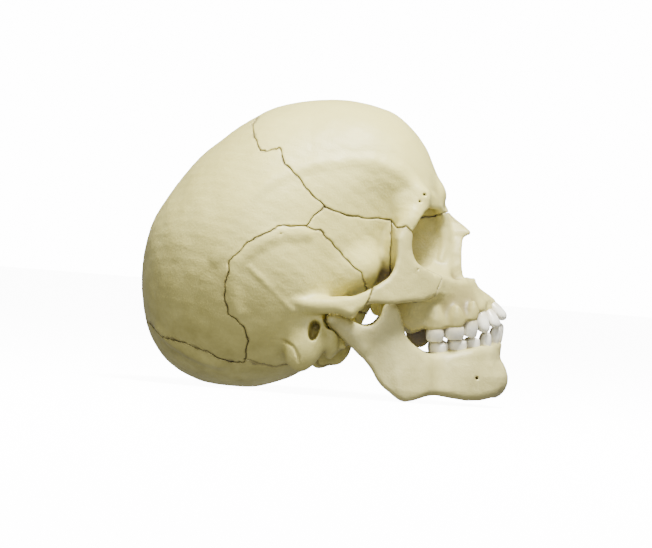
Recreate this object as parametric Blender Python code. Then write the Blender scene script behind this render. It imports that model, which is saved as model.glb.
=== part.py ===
"""Human skull, a life-size model of the bones and teeth, lying at rest as it would on a table.

The shape is worked out in millimetres in the pose of the photo: +X is the way the face looks, +Z is up,
x = 0, z = 0 is a point under the jaw joint at the height of the chin, and the middle plane is y = 0.
The braincase, face and jaw are rounded forms blended into each other on a grid of distances, one side only,
and the other side is its mirror image. The whole is then parted into its bones with cuts as thin as a hair,
and turned a little so that it lies on the back of the head and the two corners of the jaw.
"""
import math
import random

import bmesh
import bpy
import numpy as np
import openvdb
from mathutils import Matrix, Vector
from mathutils.bvhtree import BVHTree

for item in list(bpy.data.objects):
    bpy.data.objects.remove(item, do_unlink=True)

# Driving dimensions, in millimetres and degrees
MM = 0.001              # the forms are worked out in millimetres and placed in metres
GRID = 1.5              # spacing of the sample points
CRANIUM_FACES = 6400    # triangles left in the braincase and face before they are parted
JAW_FACES = 1700        # triangles left in the lower jaw
TOOTH_RINGS = 7         # rings of a tooth, from the tip of its root to the biting edge
TOOTH_SIDES = 8
GAP = 0.3               # width of the cuts between bones
OVERRUN = 0.6           # how far a cut runs on past its ends, to meet the next one
DICE = 11.0             # size of the squares a cut is made of
WALL = 6.5              # thickness of the braincase
PITCH = 24              # the line from ear to eye, nose up
JOINT_ROOM = 2.1        # space kept round the head and the neck of the lower jaw
FAR = 30.0              # distance given to empty space
TOOTH_SEED = 7

# Outline of the braincase and its base in the middle plane, from the brow over the top and round underneath
CENTRE = (-24.75, 85.25)
VAULT = [
    (62.0, 107.0), (61.2, 117.5), (57.5, 127.5), (53.0, 138.0), (46.5, 147.6), (38.5, 155.3), (29.7, 160.0),
    (12.1, 164.4), (-1.1, 165.0), (-18.7, 163.4), (-31.9, 160.0), (-40.7, 155.7), (-49.5, 150.2), (-58.3, 143.8),
    (-67.1, 137.0), (-75.9, 128.5), (-84.7, 117.4), (-92.5, 106.5), (-98.3, 95.5), (-101.9, 82.5), (-103.3, 68.0),
    (-102.9, 54.0), (-100.2, 40.5), (-94.5, 27.8), (-86.0, 18.8), (-75.9, 12.7), (-64.0, 9.0), (-50.0, 7.4),
    (-38.0, 8.0), (-22.0, 12.5), (-6.0, 20.0), (7.0, 28.5), (15.0, 52.0), (25.0, 62.0), (34.0, 84.0), (50.0, 99.0),
]
HALF_BREADTH = 63.0     # of the braincase over the ears, before the bumps below
# x, z, reach and height of the bulges and hollows of its side
SIDE_BUMPS = [(-52, 95, 38, 8.5), (-20, 55, 22, 1.0), (12, 95, 20, -5.0), (45, 140, 20, 1.0)]


def smooth_min(a, b, blend):
    """The smaller of two distances, rounded over where they meet."""
    h = np.clip(0.5 + 0.5 * (b - a) / blend, 0, 1)
    return b + (a - b) * h - blend * h * (1 - h)


def smooth_max(a, b, blend):
    """The larger of two distances, rounded over where they meet."""
    return -smooth_min(-a, -b, blend)


def turned(x, y, z, centre, pitch, yaw):
    """Coordinates about a centre, along axes pitched nose up and then yawed towards the side, in degrees."""
    x, y, z = x - centre[0], y - centre[1], z - centre[2]
    a, b = math.radians(pitch), math.radians(yaw)
    x, z = x * math.cos(a) + z * math.sin(a), -x * math.sin(a) + z * math.cos(a)
    x, y = x * math.cos(b) + y * math.sin(b), -x * math.sin(b) + y * math.cos(b)
    return x, y, z


def through(points, steps):
    """A smooth curve through the points, as a list of many more."""
    p = np.asarray(points, float)
    ends = np.vstack([2 * p[0] - p[1], p, 2 * p[-1] - p[-2]])
    t = np.linspace(0, 1, steps, endpoint=False)[:, None]
    out = []
    for a, b, c, d in zip(ends, ends[1:], ends[2:], ends[3:]):
        bend, twist = 2 * a - 5 * b + 4 * c - d, 3 * b - a - 3 * c + d
        out.append(0.5 * (2 * b + (c - a) * t + bend * t**2 + twist * t**3))
    return np.vstack([*out, p[-1:]])


def closed_curve(points, steps=5):
    """The same for a curve that comes back to its start."""
    return through([points[-1], *points, points[0]], steps)[steps:-steps - 1]


class Form:
    """A distance function and the box that holds its surface."""

    def __init__(self, distance, low, high):
        self.distance, self.low, self.high = distance, low, high


def egg(centre, radii, pitch=0, yaw=0):
    """An ellipsoid."""

    def distance(x, y, z):
        u, v, w = turned(x, y, z, centre, pitch, yaw)
        a, b, c = radii
        out = np.sqrt((u / a) ** 2 + (v / b) ** 2 + (w / c) ** 2)
        slope = np.sqrt((u / a**2) ** 2 + (v / b**2) ** 2 + (w / c**2) ** 2)
        return out * (out - 1) / np.maximum(slope, 1e-6)

    return Form(distance, [c - max(radii) for c in centre], [c + max(radii) for c in centre])


def rod(points, radii, flat=1.0, steps=4):
    """A smooth rod through the points. flat above 1 makes it broad from side to side, below 1 narrow."""
    path = through([(*p, r) for p, r in zip(points, radii)], steps)
    reach = path[:, 3].max() * max(flat, 1.0)

    def distance(x, y, z):
        best = FAR
        y = y / flat
        for (ax, ay, az, ar), (bx, by, bz, br) in zip(path, path[1:]):
            ay, by = ay / flat, by / flat
            ex, ey, ez = bx - ax, by - ay, bz - az
            long = max(ex * ex + ey * ey + ez * ez, 1e-9)
            t = np.clip(((x - ax) * ex + (y - ay) * ey + (z - az) * ez) / long, 0, 1)
            d = np.sqrt((x - ax - t * ex) ** 2 + (y - ay - t * ey) ** 2 + (z - az - t * ez) ** 2)
            best = np.minimum(best, d - ar - t * (br - ar))
        return best * min(flat, 1.0)

    return Form(distance, path[:, :3].min(0) - reach, path[:, :3].max(0) + reach)


def outline_distance(points, u, v):
    """Signed distance in a plane to a closed outline, negative inside."""
    best = np.full(np.broadcast(u, v).shape, 1e9, np.float32)
    inside = np.zeros(best.shape, bool)
    for (ax, ay), (bx, by) in zip(points, np.roll(points, -1, 0)):
        ex, ey = bx - ax, by - ay
        t = np.clip(((u - ax) * ex + (v - ay) * ey) / max(ex * ex + ey * ey, 1e-9), 0, 1)
        best = np.minimum(best, (u - ax - t * ex) ** 2 + (v - ay - t * ey) ** 2)
        if ay != by:
            inside ^= ((ay > v) != (by > v)) & (u < (bx - ax) * (v - ay) / (by - ay) + ax)
    best = np.sqrt(best)
    return np.where(inside, -best, best)


def line_distance(points, u, v):
    """Distance in a plane to an open line."""
    best = np.full(np.broadcast(u, v).shape, 1e9, np.float32)
    for (ax, ay), (bx, by) in zip(points, points[1:]):
        ex, ey = bx - ax, by - ay
        t = np.clip(((u - ax) * ex + (v - ay) * ey) / max(ex * ex + ey * ey, 1e-9), 0, 1)
        best = np.minimum(best, (u - ax - t * ex) ** 2 + (v - ay - t * ey) ** 2)
    return np.sqrt(best)


def side_plate(outline, middle, half, blend):
    """A plate with an outline seen from the side, its mid surface at y = middle(x, z) and its half thickness."""
    points = closed_curve(outline)

    def distance(x, y, z):
        edge = outline_distance(points, x, z)
        return smooth_max(edge, np.abs(y - middle(x, z)) - half(x, z), blend)

    low, high = points.min(0), points.max(0)
    return Form(distance, [low[0], 0, low[1]], [high[0], 70, high[1]])


class Bone:
    """Sample points in a box over one side of the skull, with the distance to the bone built so far."""

    def __init__(self, low, high, step):
        self.step = step
        self.axes = [np.arange(a, b + step, step, dtype=np.float32) for a, b in zip(low, high)]
        self.d = np.full([len(a) for a in self.axes], FAR, np.float32)

    def grid(self, where=(slice(None),) * 3):
        a, b, c = (axis[w] for axis, w in zip(self.axes, where))
        return a[:, None, None], b[None, :, None], c[None, None, :]

    def blend(self, form, amount, sign):
        """Join a form to the bone, or take it out of it, inside the form's own box."""
        reach = amount + 3 * self.step
        where = []
        for axis, low, high in zip(self.axes, form.low, form.high):
            first, last = np.searchsorted(axis, [low - reach, high + reach])
            where.append(slice(max(first - 1, 0), last + 1))
        where = tuple(where)
        d = form.distance(*self.grid(where))
        self.d[where] = sign * smooth_min(sign * self.d[where], d, amount)

    def add(self, form, amount=2.0):
        self.blend(form, amount, 1)

    def cut(self, form, amount=1.0):
        self.blend(form, amount, -1)

    def surface(self):
        """Corners in millimetres and faces of both sides."""
        both = np.concatenate([self.d[:, :0:-1], self.d], 1)
        grid = openvdb.FloatGrid(background=FAR)
        grid.copyFromArray(np.ascontiguousarray(np.clip(both, -3 * self.step, 3 * self.step)))
        points, _, quads = grid.convertToPolygons(isovalue=0.0, adaptivity=0.0)
        origin = np.array([self.axes[0][0], -self.axes[1][-1], self.axes[2][0]])
        return points * self.step + origin, quads[:, ::-1]


def braincase(x, y, z):
    """Distance to the braincase, a rounded form with the outline VAULT in the middle plane."""
    path = closed_curve(VAULT, 4) - CENTRE
    order = np.argsort(np.arctan2(path[:, 1], path[:, 0]))
    turn = np.radians(np.arange(360))
    towards, reach = np.arctan2(path[order, 1], path[order, 0]), np.hypot(*path[order].T)
    sharp = np.interp(turn, towards, reach, period=2 * math.pi)
    # away from the middle plane the outline loses its corners
    spread = np.exp(-0.5 * (np.arange(-40, 41) / 11) ** 2)
    soft = np.convolve(np.tile(sharp, 3), spread / spread.sum(), "same")[360:720]
    u, w = x - CENTRE[0], z - CENTRE[1]
    angle = np.arctan2(w, u) % (2 * math.pi)
    half = HALF_BREADTH
    for at_x, at_z, width, height in SIDE_BUMPS:
        half = half + height * np.exp(-((x - at_x) ** 2 + (z - at_z) ** 2) / (2 * width * width))
    outward = np.clip(y / half, 0, 1)
    limit = np.interp(angle, turn, sharp, period=2 * math.pi) * (1 - outward)
    limit = (limit + np.interp(angle, turn, soft, period=2 * math.pi) * outward).astype(np.float32)
    rho = np.sqrt(u * u + w * w) / limit
    boxy = 2.35 + 0.55 * np.clip((x + 10) / 50, 0, 1)
    f = (rho**boxy + (y / half) ** boxy) ** (1 / boxy)
    slope = np.sqrt((rho / limit) ** 2 + (y / half**2) ** 2) / np.maximum(np.sqrt(rho**2 + (y / half) ** 2), 1e-3)
    return (f - 1) / np.maximum(slope, 1e-3)


def orbit(x, y, z):
    """Eye socket: a rounded square opening, narrowing to a point behind."""
    u, v, w = turned(x, y, z, (51.0, 32.0, 89.5), 0, 22)
    deep, front = np.clip(-u / 44, 0, 1), np.clip(u, 0, 30)
    wide = 19.0 - 14.8 * deep**1.3
    tall = 16.4 - 12.4 * deep**1.3
    v = v - 1.5 * deep + 0.12 * front
    w = w + 15 * deep + front * np.interp(w, [-12, 4], [0.5, 0.25]).astype(np.float32)
    ring = ((np.abs(v) / wide) ** 2.6 + (np.abs(w) / tall) ** 2.6) ** (1 / 2.6)
    return smooth_max((ring - 1) * np.minimum(wide, tall), np.maximum(u - 26, -u - 43), 2)


def nose(x, y, z):
    """Nasal cavity: pear-shaped in front, running back to the throat."""
    u, _, w = turned(x, y, z, (74, 0, 76), PITCH, 0)
    half = np.interp(w, [-9.5, -6, 0, 8, 16, 24], [8, 11.5, 11.8, 9.5, 6.5, 4.0]).astype(np.float32)
    tall = np.maximum(-8.4 - w, w - 20)
    return smooth_max(smooth_max(y - half, tall, 4), np.maximum(u - 22, -u - 52), 2)


def arch_walk(points, x, y, shift):
    """Distance in plan to the line of a tooth row, moved forwards by shift."""
    return line_distance(points, x - shift, y)


UPPER_ROW = through([(86, -6), (84.5, 5), (81, 11.5), (74.5, 18.5), (65, 24.5), (53, 28), (41, 29), (35, 27)], 4)
LOWER_ROW = through([(90, -8), (91, 0), (90, 8), (86, 15.5), (79, 22), (69, 28), (57, 34), (45, 40), (35, 45),
                     (23, 51)], 4)


def upper_jaw(x, y, z):
    """The tooth-bearing part of the upper jaw, leaning forwards at the front."""
    shift = np.clip((x - 55) / 30, 0, 1) * np.interp(z, [36, 54, 58, 62, 68], [15, 0, -5, -10, -14])
    around = arch_walk(UPPER_ROW, x, y, shift) - 5.4 - 0.8 * np.clip((60 - x) / 20, 0, 1)
    floor = np.interp(x, [36, 44, 50, 68, 77, 83, 88], [43, 37.8, 39.5, 41.5, 45.5, 50.5, 56.5])
    return smooth_max(around, np.maximum(floor - z, z - 66), 3)


def lower_jaw(x, y, z):
    """The body of the lower jaw, from the chin to under the last tooth."""
    shift = np.interp(z, [0, 6, 13, 22, 30, 36], [-1, 0.0, 0.2, -3.2, -4.6, -4.0]) * np.clip((x - 50) / 35, 0, 1)
    inward = np.interp(z, [6, 28], [0, 6]) * np.clip((78 - x) / 16, 0, 1)
    around = arch_walk(LOWER_ROW, x, y + inward, shift) - 5.6 + 0.6 * np.clip((z - 20) / 10, 0, 1)
    low = np.interp(x, [30, 40, 51, 57, 66, 74, 82, 91, 97], [6, 2, 3.6, 3.4, 1.6, 0.2, 0.2, 2, 7])
    top = np.interp(x, [30, 42, 52, 62, 74, 85, 92], [30, 29, 25.3, 27, 28.5, 31, 32])
    return smooth_max(smooth_max(around, np.maximum(low - z, z - top), 5), 37 - x, 5)


def face_block(x, y, z):
    """The middle of the face, between the sockets and behind the cheeks."""
    side = closed_curve([
        (56, 112), (63, 104), (66, 97), (68.5, 88), (70, 76), (72, 66), (62, 48), (46, 38), (37, 40), (33, 50),
        (22, 60), (8, 70), (6, 90), (20, 104), (40, 112),
    ])
    plan = closed_curve([
        (72, -12), (70, 8), (66, 18), (64, 27), (59, 36), (50, 43), (43, 47), (38, 46), (31, 38), (20, 34), (4, 36),
        (-6, 20), (-6, -12),
    ])
    lean = (z - 75) * 0.10
    narrow = 0.9 * np.clip(59 - z, 0, 22)
    return smooth_max(outline_distance(side, x, z), outline_distance(plan, x + lean, y + narrow), 4)


def nose_side(x, z):
    """How far out from the middle the side wall of the nose stands."""
    _, _, w = turned(x, 0, z, (74, 0, 76), PITCH, 0)
    half = np.interp(w, [-9, 0, 8, 14, 18, 22], [14.5, 13.8, 11.0, 8.0, 5.5, 3.5])
    edge = np.interp(z, [64, 78, 90, 93, 97.5, 103], [74, 72, 73.2, 77, 70, 64.5])
    return half + np.clip(edge - x, 0, 20) * 0.28


def cheek_side(x, z):
    """How far out from the middle the cheekbone and its arch stand."""
    line = through([(-14, 57), (0, 61.5), (12, 63.5), (25, 61.8), (36, 56.8), (46, 49.5), (53, 42), (60, 33),
                    (68, 22)], 4)
    return np.interp(x, line[:, 0], line[:, 1]) - 0.10 * (z - 62)


def build_cranium(step):
    """The braincase and the face, without the lower jaw."""
    bone = Bone((-108, 0, -2), (104, 76, 170), step)
    x, y, z = bone.grid()
    bone.d = braincase(x, y, z).astype(np.float32)
    # the temples, pressed in behind the eye sockets
    bone.cut(egg((40, 67, 87), (22, 22, 36), PITCH), 12)
    bone.add(egg((9, 37, 70.5), (19, 18.5, 14), PITCH), 9)
    shell = bone.d.copy()

    # brow, root of the nose and the outer side of the socket
    bone.add(egg((56.5, 9, 112.5), (6.5, 13, 6.5), -40), 6)
    bone.add(egg((50, 30, 109), (7, 17, 6.5), -40, 25), 6)
    bone.add(rod([(47, 43, 107), (43.5, 48.5, 99), (39.5, 50, 91), (39, 49.5, 82), (40.5, 49, 74)],
                 [6.5, 5.5, 4.6, 4.4, 5.2], 0.8), 5)
    bone.add(Form(face_block, (-6, 0, 38), (76, 50, 112)), 4)
    bone.add(Form(lambda x, y, z: np.maximum(orbit(x, y, z) - 3, (x - 38) * 0.914 + (z - 85) * 0.407),
                  (4, 2, 56), (56, 56, 114)), 3)

    # behind the upper jaw and under the cheek it is open
    bone.cut(egg((18, 46, 51), (12, 22, 11), 0), 6)
    bone.cut(egg((30, 52, 50), (17, 18, 15), 10), 4)

    # cheekbone, its arch and the spread of the arch over the ear
    bone.add(side_plate([(-14, 53.5), (0, 54.5), (8, 56.5), (18, 59.5), (27, 64.5), (33, 70), (36, 79), (37, 90),
                         (44, 90), (43.5, 82), (46, 75), (54, 73), (60, 75), (61, 66), (57, 58), (50, 54.5),
                         (42, 54), (32, 53), (22, 53), (14, 48), (11.5, 47), (8, 48), (2, 50.5), (-8, 50)],
                        cheek_side, lambda x, z: 2.6 + 0.8 * (1 + np.tanh((x - 41) / 7)), 3.5), 4)
    bone.add(rod([(-26, 56, 54), (-14, 59.5, 52.5), (-2, 60.5, 52.5), (7, 61, 52.5)], [3, 4, 4.2, 3.6], 0.9), 5)
    bone.add(egg((10, 55, 49.5), (5, 9.5, 4.2), -20), 3)

    # the knob behind the ear, the rim of the ear canal, the canal and the spike below it
    bone.add(egg((-13, 51, 33), (10.5, 8.5, 17), -20), 6)
    bone.add(rod([(-8.4, 55.5, 44.4), (-3, 54.5, 43.6), (1, 51, 38), (1.6, 48.5, 32), (-0.6, 45, 25)],
                 [1.8, 2.1, 2.2, 2.0, 1.5], 1.5), 1.6)
    bone.add(egg((-1, 40, 33), (5, 14, 8), 20), 4)
    bone.cut(egg((-8.9, 58, 38.8), (2.9, 12, 5.6), -12), 1.2)
    bone.cut(rod([(-8.6, 64, 41.5), (-7.5, 46, 40.5)], [3.0, 2.2]), 1.2)
    bone.add(rod([(1, 41, 32), (7.5, 41.5, 29.8)], [2.2, 0.9]), 1)
    # the groove behind the knob
    bone.cut(rod([(-22, 46, 16), (-12, 40, 18)], [3.2, 3.2]), 3)

    # the knobs the neck joins to, and the floor in front of them
    bone.add(egg((5.5, 17, 28), (10, 5.5, 5.5), 60, -25), 3)
    bone.add(egg((-2, 21, 24), (9, 5.0, 4.5), 35, -20), 3)
    bone.add(egg((2, 30, 38), (13, 16, 10), 20, 30), 5)
    bone.add(rod([(4, 0, 36), (14, 0, 56), (20, 0, 66)], [9, 10, 12]), 5)
    # two plates hanging behind the upper jaw
    bone.add(side_plate([(21, 70), (22, 56), (23, 48), (27, 46.5), (34, 50), (38, 60), (38, 70)],
                        lambda x, z: 21 + 0.35 * (34 - x), lambda x, z: 1.5, 1), 1.5)
    bone.add(side_plate([(24, 70), (25, 56), (27, 44), (30, 40), (33, 44), (38, 56), (38, 70)],
                        lambda x, z: 13.0, lambda x, z: 1.4, 1), 1.5)

    # upper jaw, and the roof of the mouth between the tooth rows
    bone.add(Form(upper_jaw, (34, 0, 34), (90, 36, 68)), 4)
    bone.add(rod([(70.5, 3, 63), (75, 3, 59), (79.5, 3, 55)], [5, 4.6, 4.4], 1.5), 4)
    bone.cut(egg((55, 0, 43), (27, 20, 9.5), PITCH * 0.9), 3)
    bone.add(side_plate([(36, 58), (46, 55), (50, 46), (54, 39), (54.5, 33.5), (51, 29.8), (46.5, 29.6), (43, 33),
                         (41, 40), (38, 47)], lambda x, z: 14.0, lambda x, z: 1.6, 1), 2)

    # nose: the cavity, the spine below it, the side walls and the bridge
    bone.cut(Form(nose, (24, 0, 42), (86, 16, 108)), 1)
    bone.add(rod([(71, 0, 64.4), (76, 0, 65.2), (80, 0, 66.6)], [3.4, 2.3, 0.9], 0.8), 1.5)
    bone.add(side_plate([(58, 108), (64, 103), (69.5, 97.5), (76.5, 93), (75.5, 90.5), (73.2, 89), (72.3, 84),
                         (72, 78), (72.4, 70), (74, 64), (66, 60), (60, 66), (58, 76), (58, 90)],
                        nose_side, lambda x, z: 2.0, 1.5), 2.5)
    bone.add(rod([(60, 0, 105), (64, 0, 101), (68, 0.5, 97.8), (72.5, 1, 94.6), (76, 1.5, 92)],
                 [4.5, 2.6, 2.1, 1.8, 1.4], 1.8), 2)
    bone.cut(Form(orbit, (0, 2, 52), (82, 66, 120)), 2.6)
    bone.add(rod([(56.5, 13, 103), (61, 13.5, 95), (62.5, 14.5, 86), (60.5, 17.5, 77)], [1.6, 1.5, 1.4, 1.6]), 2)

    # a thin wall down the middle of the nose
    bone.add(side_plate([(69, 89), (67, 97), (50, 94), (36, 84), (32, 70), (36, 56), (50, 55), (66, 61), (73, 67),
                         (71, 78)], lambda x, z: 0.0, lambda x, z: 1.0, 0.5), 1)

    # the socket of the jaw joint, with room for the jaw's head and neck
    bone.cut(jaw_head(JOINT_ROOM), 1.5)
    bone.cut(jaw_neck(JOINT_ROOM), 1)

    # the hollow of the braincase, kept clear of every other surface and of the thick base
    floor = np.interp(x, [-70, -35, -22, -10, 0, 12, 24, 40, 60], [0, 13, 24, 42, 57, 61, 70, 100, 118]) - z
    hollow = smooth_max(smooth_max(shell + WALL, floor.astype(np.float32), 8), bone.d + 4.5, 3)
    bone.d = smooth_max(bone.d, -hollow, 1.5)
    bone.cut(rod([(-18, 0, 44), (-4, 0, 12)], [15.5, 16.5], 0.9), 2.5)
    return bone


def jaw_head(grown):
    """The knob of the lower jaw that turns in its socket."""
    return egg((2.4, 49.5, 44.9), (4.1 + grown, 9.6 + grown, 3.9 + grown), 0, 12)


def jaw_neck(grown):
    return rod([(4, 49, 43), (12, 48.5, 37), (18, 48, 30)], [3.6 + grown, 3.6 + grown, 3.2 + grown], 1.1)


def build_lower_jaw(step):
    """The lower jaw: a body in plan, and a flat branch each side rising to the joint."""
    bone = Bone((-8, 0, -3), (103, 66, 62), step)
    bone.add(Form(lower_jaw, (30, 0, -1), (98, 52, 34)), 2)
    bone.add(side_plate([(2, 46.5), (0, 43), (3.5, 38.5), (8.3, 33), (12.7, 29), (17.6, 23.7), (22, 18), (25.3, 12),
                         (29, 7.6), (34, 4.2), (39.5, 1.8), (46, 3), (52, 8), (53, 20), (50, 25.5), (44, 31.6),
                         (40.8, 37), (39, 44), (36.5, 51.5), (32.3, 54.6), (28.8, 51.5), (26.9, 46.2), (23.6, 42.4),
                         (19.5, 41.3), (15, 42.4), (9, 45)],
                        lambda x, z: 48.5 - 0.0040 * x * x,
                        lambda x, z: 3.1 + 2.2 * np.clip((x - 22) / 26, 0, 1) * np.clip((36 - z) / 22, 0, 1), 3), 7)
    bone.add(jaw_head(0), 3)
    bone.add(jaw_neck(0), 4)
    bone.add(egg((91.5, 0, 12), (5.0, 13, 9)), 5)
    return bone


# Teeth of the right half, from the middle outwards: centre of the crown, width along the row, depth across it,
# height of the crown, length of the root, and how far the tooth leans forwards at its tip, in degrees
UPPER_TEETH = [
    ("incisor", (92.2, 4.4, 48.3), 8.2, 8.2, 11.5, 9.5, 50),
    ("incisor", (89.0, 12.0, 44.4), 7.2, 7.2, 11.2, 9.5, 40),
    ("canine", (83.4, 17.9, 42.5), 7.8, 8.4, 12.2, 10.5, 28),
    ("premolar", (76.6, 23.8, 39.3), 7.4, 8.8, 10.0, 9.0, -12),
    ("molar", (67.7, 27.7, 37.5), 10.6, 10.8, 7.8, 9.0, -18),
    ("molar", (57.0, 29.5, 36.3), 9.9, 10.4, 7.8, 9.0, -18),
]
LOWER_TEETH = [
    ("incisor", (92.8, 2.8, 37.1), 5.2, 6.0, 11.0, 9.0, 14),
    ("incisor", (90.4, 8.3, 35.7), 6.2, 6.2, 10.0, 9.0, 14),
    ("canine", (85.2, 13.6, 32.7), 7.2, 7.4, 10.2, 9.5, 12),
    ("premolar", (78.1, 18.0, 30.5), 7.8, 7.8, 8.8, 8.5, 6),
    ("molar", (69.6, 22.6, 30.4), 10.2, 10.0, 7.8, 8.5, 18),
    ("molar", (59.3, 25.2, 29.1), 10.2, 9.8, 7.6, 8.5, 18),
]

# Lines of the cuts, seen from the side
CORONAL = [(-41.0, 172), (-40.0, 155), (-42.4, 150), (-41.0, 143), (-37.5, 135.5), (-27, 136.5), (-24.5, 128.5),
           (-18, 122), (-11, 112.5), (-2.75, 105.6)]
BEHIND_TEMPLE = [(-2.75, 105.6), (-9, 99.7), (-12.8, 94.7)]
SQUAMOSAL = [(-12.8, 94.7), (-25.3, 95.4), (-35.7, 90.7), (-43.5, 87), (-53.9, 76), (-55.5, 66), (-57.2, 57.8),
             (-54.5, 48.4), (-46.8, 41.2), (-44, 34.1), (-46.8, 20.9)]
LAMBDOID = [(-46.8, 20.9), (-59.5, 23.4), (-72, 29.7), (-85.4, 34), (-91.9, 35.2), (-98.1, 42.4), (-112, 47)]
BEHIND_SOCKET = [(-2.75, 105.6), (7, 101.5), (16.7, 99.6), (25.2, 99.2), (33, 98.5)]
OUTER_BROW = [(33, 98.5), (36.2, 94.2), (41.2, 95), (44.5, 90.5), (50, 88)]
NOSE_ROOT = [(33, 98.5), (46, 99.2), (56, 101.2), (64, 103), (74, 107)]
BEHIND_EYE = [(-12.8, 94.7), (-5.7, 92.9), (2.8, 83.3), (11.3, 74), (16.7, 70.2), (19.5, 62), (19.5, 38)]
BEHIND_FACE = [(33, 98.5), (33, 85), (32.5, 76), (33, 62), (35, 50), (37, 34)]
ARCH_SEAM = [(25, 68), (17, 46)]
# The same seen from above, with the height each stretch reaches
EAR_SEAM = [(-47.4, 62, 21.4), (-47, 52, 21.2), (-46.6, 44.5, 21.9), (-44, 43.5, 34.1), (-43.9, 43.4, 40),
            (-38, 40.5, 44), (-27, 36, 48), (-10, 29, 60), (4, 19, 80), (12, 12.4, 92), (21, 12.4, 92)]
# The cut across the floor of the braincase: x, half its width, z
FLOOR_SEAM = [(-8, 28.2, 92), (0, 22.4, 64), (4, 19.4, 60.4), (12, 12.9, 53.2), (20, 12.9, 46)]
SEPTUM = [(70.5, 91.5), (66, 91.5), (57, 87.8), (44, 82.2), (37, 77), (35, 66), (38, 57.5), (50, 60), (62, 64.5),
          (72.5, 68.3), (77, 72), (74, 86)]
SEPTUM_REACH = 3.4      # how far the cut round the thin wall of the nose reaches to each side

# A point in or beside each bone, in the pose of the photo, and the colour of its material
BONES = {
    "frontal": ((30, 0, 157), (0.63, 0.57, 0.37)),
    "occipital": ((-75, 0, 15), (0.55, 0.50, 0.31)),
    "sphenoid": ((24, 0, 58), (0.56, 0.51, 0.34)),
    "vomer": ((50, 0, 72), (0.50, 0.45, 0.30)),
    "parietal": ((-60, 52, 105), (0.62, 0.56, 0.36)),
    "temporal": ((-20, 58, 70), (0.59, 0.54, 0.35)),
    "zygomatic": ((48, 45, 64), (0.61, 0.56, 0.38)),
    "maxilla": ((60, 28, 46), (0.60, 0.55, 0.38)),
    "nasal": ((68.5, 2.4, 97.5), (0.62, 0.57, 0.39)),
}
JAW_COLOUR = (0.60, 0.56, 0.40)
PAIRED = ("parietal", "temporal", "zygomatic", "maxilla", "nasal")
SMALLEST = 300          # volume below which a piece left by the cuts is a crumb
SMOOTH_ROUNDS = 20      # most rounds of smoothing where a thin wall has folded
FLAT = (0.4, 0.3, 0.2, 0.1, 0.05, 0.02)  # faces closer to one plane than this, in degrees, are joined


def diced(name, mesh):
    """A cutter split into small squares, which keeps the corners of a cut where they belong."""
    for axis in range(3):
        low, high = (f(v.co[axis] for v in mesh.verts) for f in (min, max))
        normal = Vector([k == axis for k in range(3)])
        for k in range(1, int((high - low) / DICE) + 1):
            parts = mesh.verts[:] + mesh.edges[:] + mesh.faces[:]
            bmesh.ops.bisect_plane(mesh, geom=parts, plane_co=normal * (low + k * DICE), plane_no=normal)
    bmesh.ops.triangulate(mesh, faces=mesh.faces)
    bmesh.ops.recalc_face_normals(mesh, faces=mesh.faces)
    return add_object(name, mesh, CUTTERS)


def side_rows(line, near, far):
    """A cut that runs straight across, from y = near to y = far."""
    return [((x, near, z), (x, far, z)) for x, z in line]


def sheet(name, rows, closed=False):
    """A thin closed solid along the rows, each row a pair of points from one edge of the cut to the other."""
    mesh = bmesh.new()
    rings = []
    rows = [(Vector(a), Vector(b)) for a, b in rows]
    if not closed:
        for end, inner in ((0, 1), (-1, -2)):
            rows[end] = tuple(p + (p - q).normalized() * OVERRUN for p, q in zip(rows[end], rows[inner]))
    for i, (a, b) in enumerate(rows):
        before, after = rows[i - 1], rows[(i + 1) % len(rows)]
        if not closed:
            before, after = rows[max(i - 1, 0)], rows[min(i + 1, len(rows) - 1)]
        ring = []
        for p, q, r in ((a, before[0], after[0]), (b, before[1], after[1])):
            into, out = (p - q).normalized(), (r - p).normalized()
            across = (b - a).normalized()
            normal = (into + out).cross(across).normalized()
            spread = max((normal.dot(out.cross(across).normalized() if out.length else normal)), 0.5)
            offset = normal * (GAP / 2 / spread)
            ring += [p - offset, p + offset]
        rings.append([mesh.verts.new(v) for v in (ring[0], ring[1], ring[3], ring[2])])
    pairs = list(zip(rings, rings[1:] + (rings[:1] if closed else [])))
    for one, two in pairs:
        for k in range(4):
            mesh.faces.new((one[k], one[(k + 1) % 4], two[(k + 1) % 4], two[k]))
    if not closed:
        mesh.faces.new(rings[0])
        mesh.faces.new(rings[-1])
    return diced(name, mesh)


def slab(name, outline, y=0.0):
    """A thin flat cut across the middle plane, filling an outline seen from the side."""
    mesh = bmesh.new()
    face = mesh.faces.new([mesh.verts.new((x, y - GAP / 2, z)) for x, z in outline])
    grown = bmesh.ops.extrude_face_region(mesh, geom=[face])["geom"]
    bmesh.ops.translate(mesh, vec=(0, GAP, 0), verts=[v for v in grown if isinstance(v, bmesh.types.BMVert)])
    return diced(name, mesh)


def collection(name):
    found = bpy.data.collections.new(name)
    bpy.context.scene.collection.children.link(found)
    return found


def add_object(name, mesh, where):
    data = bpy.data.meshes.new(name)
    mesh.to_mesh(data)
    mesh.free()
    item = bpy.data.objects.new(name, data)
    where.objects.link(item)
    return item


def evaluated(item):
    """A copy of the mesh with its modifiers worked out."""
    shape = bpy.data.meshes.new_from_object(item.evaluated_get(bpy.context.evaluated_depsgraph_get()))
    item.modifiers.clear()
    item.data = shape
    return item


def tidied(item, nearest):
    """Close up slivers, split every face into triangles and face them outwards."""
    mesh = bmesh.new()
    mesh.from_mesh(item.data)
    bmesh.ops.remove_doubles(mesh, verts=mesh.verts, dist=nearest)
    bmesh.ops.dissolve_degenerate(mesh, edges=mesh.edges, dist=nearest)
    bmesh.ops.triangulate(mesh, faces=mesh.faces)
    bmesh.ops.recalc_face_normals(mesh, faces=mesh.faces)
    mesh.to_mesh(item.data)
    mesh.free()
    return item


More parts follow.
